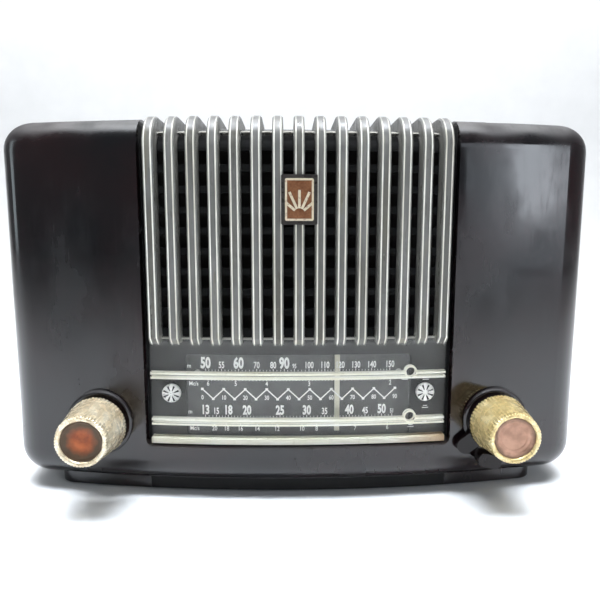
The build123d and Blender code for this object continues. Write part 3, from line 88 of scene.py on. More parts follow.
def tones(tree, value, *stops):
    """Colour by value: each stop is a position and a colour."""
    ramp = tree.nodes.new("ShaderNodeValToRGB")
    marks = ramp.color_ramp.elements
    while len(marks) < len(stops):
        marks.new(0.5)
    for mark, (place, colour) in zip(marks, stops):
        mark.position = place
        mark.color = (*colour, 1)
    tree.links.new(value, ramp.inputs["Fac"])
    return ramp.outputs["Color"]


def over(tree, share, under, above):
    """Colour above laid over colour under, as far as share says."""
    mix = tree.nodes.new("ShaderNodeMix")
    mix.data_type = "RGBA"
    sockets = (mix.inputs["Factor"], mix.inputs["A"], mix.inputs["B"])
    for value, socket in zip((share, under, above), sockets):
        if hasattr(value, "is_linked"):
            tree.links.new(value, socket)
        else:
            socket.default_value = (*value, 1) if isinstance(value, tuple) else value
    return mix.outputs["Result"]


def reckon(tree, operation, a, b=0.0):
    """One step of arithmetic on values of the surface."""
    node = tree.nodes.new("ShaderNodeMath")
    node.operation = operation
    for value, socket in ((a, node.inputs[0]), (b, node.inputs[1])):
        if hasattr(value, "is_linked"):
            tree.links.new(value, socket)
        else:
            socket.default_value = value
    return node.outputs["Value"]


def relief(tree, bsdf, height, depth_mm):
    """Small relief from height, added to any that the surface already has."""
    node = tree.nodes.new("ShaderNodeBump")
    node.inputs["Distance"].default_value = depth_mm * MM
    tree.links.new(height, node.inputs["Height"])
    if bsdf.inputs["Normal"].is_linked:
        tree.links.new(bsdf.inputs["Normal"].links[0].from_socket, node.inputs["Normal"])
    tree.links.new(node.outputs["Normal"], bsdf.inputs["Normal"])


def dress(material, *names):
    """The finish goes on CAD nodes as they are."""
    for name in names:
        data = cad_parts[name].data
        data.materials.clear()
        data.materials.append(material)


def phenolic(name, dark, light, dull):
    """Polished phenolic: a clouded body colour, handling haze, fine scratches and a moulded ripple."""
    material, tree, bsdf, where = start_finish(name)
    body = tones(tree, cloudy(tree, where, 38, 5), (0.36, dark), (0.66, light))
    speck = spread(tree, cloudy(tree, where, 1.1, 2), 0, 0.35, 0.62, 0.74)
    tree.links.new(over(tree, speck, body, tuple(c * 2.2 for c in light)), bsdf.inputs["Base Color"])
    haze = cloudy(tree, where, 24, 6, (1, 1, 1.6))
    wiped = cloudy(tree, where, 5, 5, (0.35, 1, 2.5))
    rough = reckon(tree, "ADD", spread(tree, haze, 0.06, dull, 0.4, 0.7),
                   spread(tree, wiped, 0, 0.07, 0.5, 0.75))
    tree.links.new(rough, bsdf.inputs["Roughness"])
    relief(tree, bsdf, cloudy(tree, where, 16, 2), 0.05)
    relief(tree, bsdf, cloudy(tree, where, 0.5, 3), 0.004)
    bsdf.inputs["IOR"].default_value = 1.6
    return material


def unpolished_recess(material):
    """The pocket behind the ribs was never polished, so it is matt; its colour is darkened to a mottled near
    black as painted shade.
    """
    tree = material.node_tree
    bsdf = tree.nodes["Principled BSDF"]
    part = tree.nodes.new("ShaderNodeSeparateXYZ")
    where = tree.nodes.new("ShaderNodeTexCoord").outputs["Object"]
    tree.links.new(where, part.inputs["Vector"])
    deep = reckon(tree, "SUBTRACT", part.outputs["Y"],
                  reckon(tree, "DIVIDE", reckon(tree, "POWER", part.outputs["X"], 2.0), 2 * BOW_RADIUS))
    near, far = [[FRONT + mm * MM for mm in pair] for pair in (POCKET_NEAR, POCKET_FAR)]
    inside = reckon(tree, "MULTIPLY", spread(tree, deep, 0, 1, *near), spread(tree, deep, 1, 0, *far))
    middle = spread(tree, reckon(tree, "ABSOLUTE", part.outputs["X"]), 1, 0,
                    *[mm * MM for mm in POCKET_SIDE])
    below = spread(tree, part.outputs["Z"], 1, 0, *[TOP - mm * MM for mm in POCKET_RIM])
    pocket = reckon(tree, "MULTIPLY", reckon(tree, "MULTIPLY", inside, middle), below)
    # Painted shade: the pocket's colour is taken down to a mottled near black.
    pocket_shade = tones(tree, cloudy(tree, where, 3, 5), (0.4, (0.0008, 0.0008, 0.0008)),
                  (0.75, (0.004, 0.0035, 0.003)))
    polished = bsdf.inputs["Base Color"].links[0].from_socket
    tree.links.new(over(tree, pocket, polished, pocket_shade), bsdf.inputs["Base Color"])
    smooth = bsdf.inputs["Roughness"].links[0].from_socket
    rough = reckon(tree, "MAXIMUM", smooth, reckon(tree, "MULTIPLY", pocket, 0.96))
    tree.links.new(rough, bsdf.inputs["Roughness"])


def dusty_top(material):
    """Dust and years of wiping have dulled the cabinet wherever it faces up."""
    tree = material.node_tree
    bsdf = tree.nodes["Principled BSDF"]
    part = tree.nodes.new("ShaderNodeSeparateXYZ")
    facing = tree.nodes.new("ShaderNodeNewGeometry").outputs["Normal"]
    tree.links.new(facing, part.inputs["Vector"])
    where = tree.nodes.new("ShaderNodeTexCoord").outputs["Object"]
    up = spread(tree, part.outputs["Z"], 0, 1, 0.2, 0.75)
    wiped = reckon(tree, "MULTIPLY", up, spread(tree, cloudy(tree, where, 18, 5, (2, 1, 1)), 0.7, 1.0))
    smooth = bsdf.inputs["Roughness"].links[0].from_socket
    tree.links.new(reckon(tree, "ADD", smooth, reckon(tree, "MULTIPLY", wiped, 0.5)),
                   bsdf.inputs["Roughness"])
    polished = bsdf.inputs["Base Color"].links[0].from_socket
    tree.links.new(over(tree, reckon(tree, "MULTIPLY", wiped, 0.12), polished, (0.10, 0.095, 0.09)),
                   bsdf.inputs["Base Color"])


bakelite = phenolic("bakelite", (0.0016, 0.0016, 0.0026), (0.0090, 0.0022, 0.0028), 0.36)
dusty_top(bakelite)
unpolished_recess(bakelite)
dress(bakelite, "cabinet")

# ---- Feet ----------------------------------------------------------------------------------
# Four black rubber pads, moulded, and pressed into bosses under the plinth. They are matt and
# a little dusty.


def rubbery(name, dark, light):
    """Rubber: matt, mottled by dust, with a fine grain."""
    material, tree, bsdf, where = start_finish(name)
    tree.links.new(tones(tree, cloudy(tree, where, 4, 5), (0.35, dark), (0.7, light)),
                   bsdf.inputs["Base Color"])
    tree.links.new(spread(tree, cloudy(tree, where, 2, 4), 0.6, 0.85), bsdf.inputs["Roughness"])
    relief(tree, bsdf, cloudy(tree, where, 0.4, 3), 0.03)
    return material


black_rubber = rubbery("black_rubber", (0.015, 0.015, 0.015), (0.05, 0.048, 0.045))
dress(black_rubber, "feet", "mains_grommet")

# ---- Chassis -------------------------------------------------------------------------------
# A folded steel tray, cadmium plated, with a dulled yellowish bloom. Its bolts and spacers,
# and the small steel parts round it, are zinc plated.


def metal(name, dark, light, rough, grain_mm=0.6, stretch=(8, 1, 1), metallic=1.0):
    """Bare or plated metal: patchy bloom, grain drawn out one way, and fine pits."""
    material, tree, bsdf, where = start_finish(name)
    patch = cloudy(tree, where, 14, 6)
    grain = cloudy(tree, where, grain_mm, 3, stretch)
    tree.links.new(tones(tree, reckon(tree, "ADD", reckon(tree, "MULTIPLY", patch, 0.7),
                                      reckon(tree, "MULTIPLY", grain, 0.3)),
                         (0.36, dark), (0.62, light)), bsdf.inputs["Base Color"])
    tree.links.new(spread(tree, grain, rough * 0.75, rough * 1.3), bsdf.inputs["Roughness"])
    relief(tree, bsdf, grain, 0.012)
    bsdf.inputs["Metallic"].default_value = metallic
    return material


cadmium = metal("cadmium_sheet", (0.32, 0.30, 0.24), (0.58, 0.56, 0.48), 0.42, 0.9, (1, 6, 1))
dress(cadmium, "chassis")
zinc = metal("zinc_turning", (0.42, 0.41, 0.38), (0.66, 0.65, 0.60), 0.32)
dress(zinc, "chassis_bolts", "scale_pillars", "pulley_posts", "baffle_screws", "wave_switch_posts",
      "tuning_spindle", "volume_spindle", "drum_spring", "gang_frame", "tuning_grub_screw",
      "volume_grub_screw")

# ---- Valves --------------------------------------------------------------------------------
# Five small valves in moulded sockets: a pressed metal collar, a blown glass bulb silvered
# inside at the top, and a blackened anode on its mica.
socket_moulding = phenolic("socket_moulding", (0.02, 0.010, 0.006), (0.06, 0.03, 0.018), 0.45)
dress(socket_moulding, "valve_sockets")
bright_aluminium = metal("bright_aluminium", (0.50, 0.50, 0.49), (0.78, 0.78, 0.77), 0.30, 0.5, (1, 1, 9))
dress(bright_aluminium, "valve_bases", "if_cans", "smoothing_capacitor")
blackened = metal("blackened_nickel", (0.05, 0.05, 0.055), (0.20, 0.20, 0.21), 0.45, 0.7, (1, 1, 6))
dress(blackened, "valve_electrodes")
# The mirror of the getter fades out between these two depths below the top of the bulbs.
GETTER_ENDS, GETTER_FULL = 17 * MM, 11 * MM


def valve_glass_finish():
    """Clear glass below, with the mirror of the getter over the dome."""
    material, tree, bsdf, where = start_finish("valve_glass")
    height = tree.nodes.new("ShaderNodeSeparateXYZ")
    tree.links.new(where, height.inputs["Vector"])
    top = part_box("valve_glasses")[1].z
    edge = reckon(tree, "ADD", height.outputs["Z"], spread(tree, cloudy(tree, where, 5, 3), -0.002, 0.002))
    silver = spread(tree, edge, 0, 1, top - GETTER_ENDS, top - GETTER_FULL)
    tree.links.new(over(tree, silver, (0.85, 0.9, 0.88), (0.30, 0.30, 0.32)), bsdf.inputs["Base Color"])
    tree.links.new(reckon(tree, "ADD", reckon(tree, "MULTIPLY", silver, 0.8), 0.2), bsdf.inputs["Alpha"])
    tree.links.new(silver, bsdf.inputs["Metallic"])
    tree.links.new(spread(tree, cloudy(tree, where, 6, 4), 0.03, 0.12), bsdf.inputs["Roughness"])
    return material


dress(valve_glass_finish(), "valve_glasses")

# ---- Parts on the deck ---------------------------------------------------------------------
# The output transformer of varnished iron stampings with its paper bobbin, and the mains
# dropping resistor, a cement-coated winding on a ceramic tube.


def stamped_iron():
    """A stack of thin stampings, each a shade different, under dark varnish."""
    material, tree, bsdf, where = start_finish("stamped_iron")
    layers = cloudy(tree, where, 0.5, 1, (60, 1, 60))
    tree.links.new(tones(tree, layers, (0.35, (0.03, 0.026, 0.024)), (0.65, (0.16, 0.14, 0.12))),
                   bsdf.inputs["Base Color"])
    tree.links.new(spread(tree, cloudy(tree, where, 3, 4), 0.35, 0.6), bsdf.inputs["Roughness"])
    relief(tree, bsdf, layers, 0.12)
    bsdf.inputs["Metallic"].default_value = 0.6
    return material


dress(stamped_iron(), "output_transformer")


def powdery(name, dark, light, size_mm, rough=0.8, depth_mm=0.05):
    """A dry, matt surface such as ceramic, board or paper, mottled at size_mm."""
    material, tree, bsdf, where = start_finish(name)
    tree.links.new(tones(tree, cloudy(tree, where, size_mm, 6), (0.34, dark), (0.66, light)),
                   bsdf.inputs["Base Color"])
    tree.links.new(spread(tree, cloudy(tree, where, size_mm / 2, 3), rough * 0.85, min(1, rough * 1.1)),
                   bsdf.inputs["Roughness"])
    relief(tree, bsdf, cloudy(tree, where, size_mm / 6, 4), depth_mm)
    return material


dress(powdery("cement_coating", (0.34, 0.30, 0.24), (0.62, 0.57, 0.47), 3), "mains_dropper")

# ---- Tuning capacitor and cord drive -------------------------------------------------------
# Aluminium vanes on a steel frame, a die-cast drum, brass pulleys and a waxed linen cord
# that ties drum, pulleys, tuning spindle and pointer together.
dress(bright_aluminium, "gang_stator", "gang_rotor")
cast_alloy = metal("cast_alloy", (0.36, 0.36, 0.35), (0.60, 0.60, 0.58), 0.5, 1.2, (1, 1, 1))
dress(cast_alloy, "drive_drum")
turned_brass = metal("turned_brass", (0.42, 0.28, 0.10), (0.72, 0.53, 0.24), 0.28)
dress(turned_brass, "cord_pulley_left", "cord_pulley_right", "tuning_bush", "wave_shaft", "lamp_holders",
      "socket_tubes")
dress(zinc, "volume_control")
dress(powdery("waxed_linen", (0.28, 0.20, 0.10), (0.52, 0.42, 0.25), 0.8, 0.7, 0.06), "drive_cord")

# ---- Insulating boards, coils and capacitors under the deck ---------------------------------
# Sawn and punched boards and formers of resin-bonded paper, a winding of enamelled copper wire,
# and paper capacitors dipped in wax.
paxolin = phenolic("bonded_paper", (0.20, 0.09, 0.03), (0.34, 0.17, 0.06), 0.4)
dress(paxolin, "wave_switch_plate", "wave_switch_rotor", "aerial_coil", "tag_board", "socket_strip")


def wound_copper():
    """Close turns of enamelled wire, coloured darker between the turns as painted shade."""
    material, tree, bsdf, where = start_finish("wound_copper")
    wave = tree.nodes.new("ShaderNodeTexWave")
    wave.inputs["Scale"].default_value = 420
    tree.links.new(where, wave.inputs["Vector"])
    # Painted shade: the colour follows the winding's relief, darkest between the turns.
    tree.links.new(tones(tree, wave.outputs["Fac"], (0.1, (0.16, 0.05, 0.02)), (0.8, (0.55, 0.24, 0.10))),
                   bsdf.inputs["Base Color"])
    tree.links.new(spread(tree, cloudy(tree, where, 2, 3), 0.25, 0.45), bsdf.inputs["Roughness"])
    relief(tree, bsdf, wave.outputs["Fac"], 0.15)
    bsdf.inputs["Metallic"].default_value = 0.8
    return material


dress(wound_copper(), "aerial_coil_winding")
dress(powdery("waxed_paper", (0.42, 0.33, 0.18), (0.68, 0.58, 0.38), 5, 0.45), "wax_capacitors")

# ---- Dial lamps ----------------------------------------------------------------------------
# Two small tubular bulbs of clear glass, blown thin. They push into brass holders behind the
# foot of the dial.


def lamp_glass_finish():
    """Thin clear glass, faintly yellowed by heat."""
    material, tree, bsdf, where = start_finish("lamp_glass")
    tree.links.new(tones(tree, cloudy(tree, where, 3, 4), (0.3, (0.75, 0.72, 0.6)),
                         (0.7, (0.95, 0.93, 0.85))), bsdf.inputs["Base Color"])
    tree.links.new(spread(tree, cloudy(tree, where, 2, 3), 0.04, 0.15), bsdf.inputs["Roughness"])
    bsdf.inputs["Alpha"].default_value = 0.45
    return material


dress(lamp_glass_finish(), "lamp_bulbs")

# ---- Loudspeaker ---------------------------------------------------------------------------
# A small moving-coil loudspeaker on a blacked board: stoved grey basket, ground magnet pot
# and a pressed paper cone. The dark cloth is stretched over the baffle and glued at its edge.
dress(powdery("blacked_board", (0.006, 0.005, 0.004), (0.020, 0.016, 0.012), 3), "speaker_baffle")
dress(metal("stoved_grey", (0.06, 0.06, 0.06), (0.13, 0.13, 0.125), 0.45, 1.0, (1, 1, 1), 0.2),
      "speaker_basket")
dress(powdery("cone_paper", (0.035, 0.03, 0.027), (0.10, 0.09, 0.08), 1.5, 0.9), "speaker_cone")
dress(metal("ground_magnet", (0.14, 0.14, 0.15), (0.32, 0.32, 0.33), 0.38), "speaker_magnet")
THREAD_PAIR = 0.9 * MM
CLOTH_THICKNESS = 0.3 * MM
# The stretched cloth stands a little off the board and pulls in shallow dimples.
CLOTH_OFF, DIMPLE_DEPTH, DIMPLES_PER_MM = 0.1 * MM, 0.03 * MM, 0.9
CLOTH_FACES = (120, 82)


def woven_cloth():
    """Plain weave: warp and weft stand proud by turns, thread by thread, and the colour darkens where the
    weave sinks as painted shade.
    """
    material, tree, bsdf, where = start_finish("speaker_cloth_weave")
    part = tree.nodes.new("ShaderNodeSeparateXYZ")
    tree.links.new(where, part.inputs["Vector"])
    thread = 2 * math.pi / THREAD_PAIR
    warp = reckon(tree, "SINE", reckon(tree, "MULTIPLY", part.outputs["X"], thread))
    weft = reckon(tree, "SINE", reckon(tree, "MULTIPLY", part.outputs["Z"], thread))
    weave = reckon(tree, "MULTIPLY", warp, weft)
    # Painted shade: the colour follows the weave's relief, darkest where it sinks.
    tree.links.new(tones(tree, spread(tree, weave, 0, 1, -1, 1), (0.2, (0.004, 0.003, 0.003)),
                         (0.9, (0.030, 0.023, 0.018))), bsdf.inputs["Base Color"])
    relief(tree, bsdf, weave, 0.12)
    bsdf.inputs["Roughness"].default_value = 0.9
    bsdf.inputs["Sheen Weight"].default_value = 0.3
    return material


def flat_sheet(name, low, high, y, across, up):
    """A rectangle of small faces at y, facing the front."""
    mesh = bpy.data.meshes.new(name)
    points = [(low.x + (high.x - low.x) * i / across, y, low.z + (high.z - low.z) * j / up)
              for j in range(up + 1) for i in range(across + 1)]
    row = across + 1
    faces = [(j * row + i, j * row + i + 1, (j + 1) * row + i + 1, (j + 1) * row + i)
             for j in range(up) for i in range(across)]
    mesh.from_pydata(points, [], faces)
    piece = bpy.data.objects.new(name, mesh)
    bpy.context.scene.collection.objects.link(piece)
    return piece


cloth_low, cloth_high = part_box("speaker_cloth")
cloth = flat_sheet("stretched_cloth", cloth_low, cloth_high, cloth_low.y, *CLOTH_FACES)
for vertex in cloth.data.vertices:
    pull = math.sin(vertex.co.x / MM * DIMPLES_PER_MM) * math.sin(vertex.co.z / MM * DIMPLES_PER_MM)
    vertex.co.y += CLOTH_OFF + DIMPLE_DEPTH * pull
thickness = cloth.modifiers.new("thickness", "SOLIDIFY")
thickness.thickness = CLOTH_THICKNESS
thickness.offset = -1
cloth.data.materials.append(woven_cloth())
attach(cloth, "set")
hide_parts("speaker_cloth")

# ---- Dial backplate and pointer ------------------------------------------------------------
# A steel plate sprayed satin dark grey, and a pressed pointer in cream paint that runs on the
# plate's top edge and is clipped to the cord.


def sprayed(name, dark, light, rough):
    """Sprayed paint: faint clouds, dust and a very fine orange peel."""
    material, tree, bsdf, where = start_finish(name)
    tree.links.new(tones(tree, cloudy(tree, where, 9, 6), (0.33, dark), (0.68, light)),
                   bsdf.inputs["Base Color"])
    tree.links.new(spread(tree, cloudy(tree, where, 4, 4), rough * 0.8, rough * 1.25),
                   bsdf.inputs["Roughness"])
    relief(tree, bsdf, cloudy(tree, where, 0.7, 3), 0.01)
    return material


dress(sprayed("dial_grey", (0.105, 0.104, 0.100), (0.160, 0.158, 0.150), 0.55), "scale_backplate")
dress(sprayed("pointer_cream", (0.95, 0.90, 0.68), (0.99, 0.96, 0.80), 0.4), "pointer")

# ---- Dial print ----------------------------------------------------------------------------
# Numbers, ticks, unit marks and the zigzag are printed in white on the back of the clear window.
# The print is only a skin of paint, and it follows the window's bow.
PRINT_DEPTH = 6.83 * MM
PRINT_SKIN = 0.03 * MM
CAPITAL = 0.69  # height of a capital in the typeface, as a share of its size
TALL_TICK, SHORT_TICK, TICK_GAP = 0.32, 0.24, 1.5
print_points = []
print_faces = []


def bow(x):
    """How far the bowed front falls back at x."""
    return BOW_RADIUS - math.sqrt(BOW_RADIUS ** 2 - x * x)


def print_outline(points):
    """One flat patch of paint. Points are in millimetres across and up."""
    first = len(print_points)
    print_points.extend(points)
    print_faces.append(list(range(first, first + len(points))))


def print_bar(x, z, width, height):
    """A rectangle of paint centred on x and z."""
    print_outline([(x - width / 2, z - height / 2), (x + width / 2, z - height / 2),
                   (x + width / 2, z + height / 2), (x - width / 2, z + height / 2)])


def print_words(words, x, z, height, squeeze=0.8, weight=0.0):
    """Words on the line z, centred on x, height tall, narrowed by squeeze and bolder by weight."""
    curve = bpy.data.curves.new("letters", "FONT")
    curve.body = words
    curve.align_x = "CENTER"
    curve.resolution_u = 3
    curve.offset = weight
    letters = bpy.data.objects.new("letters", curve)
    mesh = bpy.data.meshes.new_from_object(letters)
    first = len(print_points)
    for vertex in mesh.vertices:
        print_points.append((x + vertex.co.x * height / CAPITAL * squeeze,
                             z + vertex.co.y * height / CAPITAL))
    print_faces.extend([first + v for v in face.vertices] for face in mesh.polygons)
    bpy.data.meshes.remove(mesh)
    bpy.data.objects.remove(letters)
    bpy.data.curves.remove(curve)


def print_line(start, end, width):
    """A straight line of paint between two places."""
    run, rise = end[0] - start[0], end[1] - start[1]
    length = math.hypot(run, rise)
    nx, nz = -rise / length * width / 2, run / length * width / 2
    print_outline([(start[0] - nx, start[1] - nz), (end[0] - nx, end[1] - nz),
                   (end[0] + nx, end[1] + nz), (start[0] + nx, start[1] + nz)])


def print_ticks(marks, foot, tall, short):
    """A tick at every number, and shorter ones between neighbours, all standing on foot."""
    places = sorted(marks)
    for x in places:
        print_bar(x, foot + tall / 2, TALL_TICK, tall)
    for x0, x1 in zip(places, places[1:]):
        gaps = max(2, round((x1 - x0) / TICK_GAP))
        for k in range(1, gaps):
            print_bar(x0 + (x1 - x0) * k / gaps, foot + short / 2, SHORT_TICK, short)


# Each row: its numbers with their places across and their heights. The rows stand on the two
# pairs of ridges, and a row of short-wave numbers hangs under each pair.
LARGE, MIDDLE, SMALL, TINY, UNDER, UNIT = 4.8, 4.05, 2.9, 2.0, 2.1, 1.9
BOLD, MEDIUM, FINE = 0.042, 0.026, 0.015
UPPER_ROW = ((50, -42.3, LARGE), (55, -35.0, SMALL), (60, -27.3, LARGE), (70, -19.1, SMALL),
             (80, -11.6, SMALL), (90, -6.6, LARGE), (95, -2.0, TINY), (100, 4.6, SMALL),
             (110, 11.8, SMALL), (120, 18.7, SMALL), (130, 25.9, SMALL), (140, 33.2, SMALL),
             (150, 41.6, SMALL))
UPPER_UNDER = ((6, -41.3), (5, -28.7), (4, -14.6), (3, 4.7), (2, 41.9))
LOWER_ROW = ((13, -42.8, MIDDLE), (15, -37.8, SMALL), (18, -32.3, MIDDLE), (20, -23.7, MIDDLE),
             (25, -8.6, MIDDLE), (30, 3.6, MIDDLE), (35, 11.8, SMALL), (40, 23.2, MIDDLE),
             (45, 30.5, SMALL), (50, 38.2, MIDDLE), (51, 43.0, TINY))
LOWER_UNDER = ((20, -38.7), (18, -33.2), (16, -26.8), (14, -19.1), (12, -10.0), (10, 1.4), (8, 8.2),
               (7, 25.9), (6, 41.0))
UPPER_BASE, UPPER_UNDER_BASE, LOWER_BASE, LOWER_UNDER_BASE = 59.9, 51.6, 38.3, 30.4
for base, row in ((UPPER_BASE, UPPER_ROW), (LOWER_BASE, LOWER_ROW)):
    for number, x, size in row:
        print_words(str(number), x, base, size, 0.66, BOLD if size > SMALL else MEDIUM)
    print_ticks([x for number, x, size in row], base - 1.45, 1.1, 0.7)
    print_words("m", -49.8, base, UNIT, 0.9, FINE)
for base, row in ((UPPER_UNDER_BASE, UPPER_UNDER), (LOWER_UNDER_BASE, LOWER_UNDER)):
    for number, x in row:
        print_words(str(number), x, base, UNDER, 0.8, FINE)
    print_ticks([x for number, x in row], base + 2.3, 1.0, 0.6)
    print_words("Mc/s", -47.9, base, UNIT, 0.85, FINE)
# The tuning log: a zigzag with a dot at each corner and a number under each peak.
ZIG_HIGH, ZIG_LOW, ZIG_STEP, ZIG_START, ZIG_PEAKS = 50.0, 45.4, 9.8, -44.0, 10
ZIG_STROKE, ZIG_DOT = 0.58, (1.25, 1.15)
LOG_BASE, LOG_WEIGHT = 45.1, 0.022
zig_corners = [(ZIG_START + i * ZIG_STEP / 2, ZIG_LOW if i % 2 else ZIG_HIGH)
               for i in range(2 * ZIG_PEAKS - 1)]
for left, right in zip(zig_corners, zig_corners[1:]):
    print_line(left, right, ZIG_STROKE)
for x, z in zig_corners:
    print_bar(x, z, *ZIG_DOT)
for i in range(ZIG_PEAKS):
    print_words(str(i * 10), ZIG_START + i * ZIG_STEP, LOG_BASE, TINY, 0.75, LOG_WEIGHT)
# Small wave-range marks beside the rings: a long bar with a short one over it.
RANGE_MARKS = ((48.8, 53.9), (52.0, 33.0), (52.0, 31.2), (58.7, 53.6), (58.7, 40.2), (58.7, 32.6))
LONG_BAR, SHORT_BAR, SHORT_BAR_RISE = (3.0, 0.35), (2.0, 0.3), 0.95
for x, z in RANGE_MARKS:
    print_bar(x, z, *LONG_BAR)
    print_bar(x, z + SHORT_BAR_RISE, *SHORT_BAR)
print_mesh = bpy.data.meshes.new("dial_print")
print_mesh.from_pydata([(x * MM, FRONT + PRINT_DEPTH + bow(x * MM), z * MM) for x, z in print_points],
                       [], print_faces)
dial_print = bpy.data.objects.new("dial_print", print_mesh)
bpy.context.scene.collection.objects.link(dial_print)
skin = dial_print.modifiers.new("skin", "SOLIDIFY")
skin.thickness = PRINT_SKIN
print_mesh.materials.append(sprayed("print_white", (0.92, 0.91, 0.85), (0.98, 0.98, 0.94), 0.6))
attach(dial_print, "set")

# ---- Clear front moulding ------------------------------------------------------------------
# One acrylic moulding, gone a little cream with age. The ribs are satin, with a painted highlight
# along each edge and a fainter one on their sides, and the dial window is clear. The two pairs of
# ridges, the ring at the right end of each pair and the reeded foot band carry cream paint, with
# painted shade along the reeds. Painted highlights run along the rims of the webs, and painted
# shade darkens the ribs where they roll over the top.
RIB_PITCH = 9.13 * MM
# Across a rib, as shares of the pitch from its middle: its painted highlight line, its side's painted
# highlight and the web's edge.
HIGHLIGHT_LINE_STARTS, HIGHLIGHT_LINE_ENDS, SIDE_HIGHLIGHT_STARTS, WEB_STARTS = ((0.116, 0.126), (0.178, 0.194), (0.185, 0.215),
                                                   (0.262, 0.272))
RIBS_FOOT = (0.0705, 0.0725)
RING_X, RING_INNER, RING_OUTER = 51.0 * MM, 2.15 * MM, 3.0 * MM
# Heights in millimetres: the rings' middles, and the painted bands and the webs' painted highlight rims, from
# low to high.
RING_HEIGHTS = (57.9, 36.9)
UPPER_RIDGES, LOWER_RIDGES = ((55.0, 56.0), (57.1, 58.2)), ((33.5, 34.5), (35.6, 36.7))
FOOT_BAND, REED_PITCH = (25.2, 28.1), 0.65 * MM
WEB_RIM_HIGHLIGHTS = ((163.4, 164.2), (73.4, 74.1))


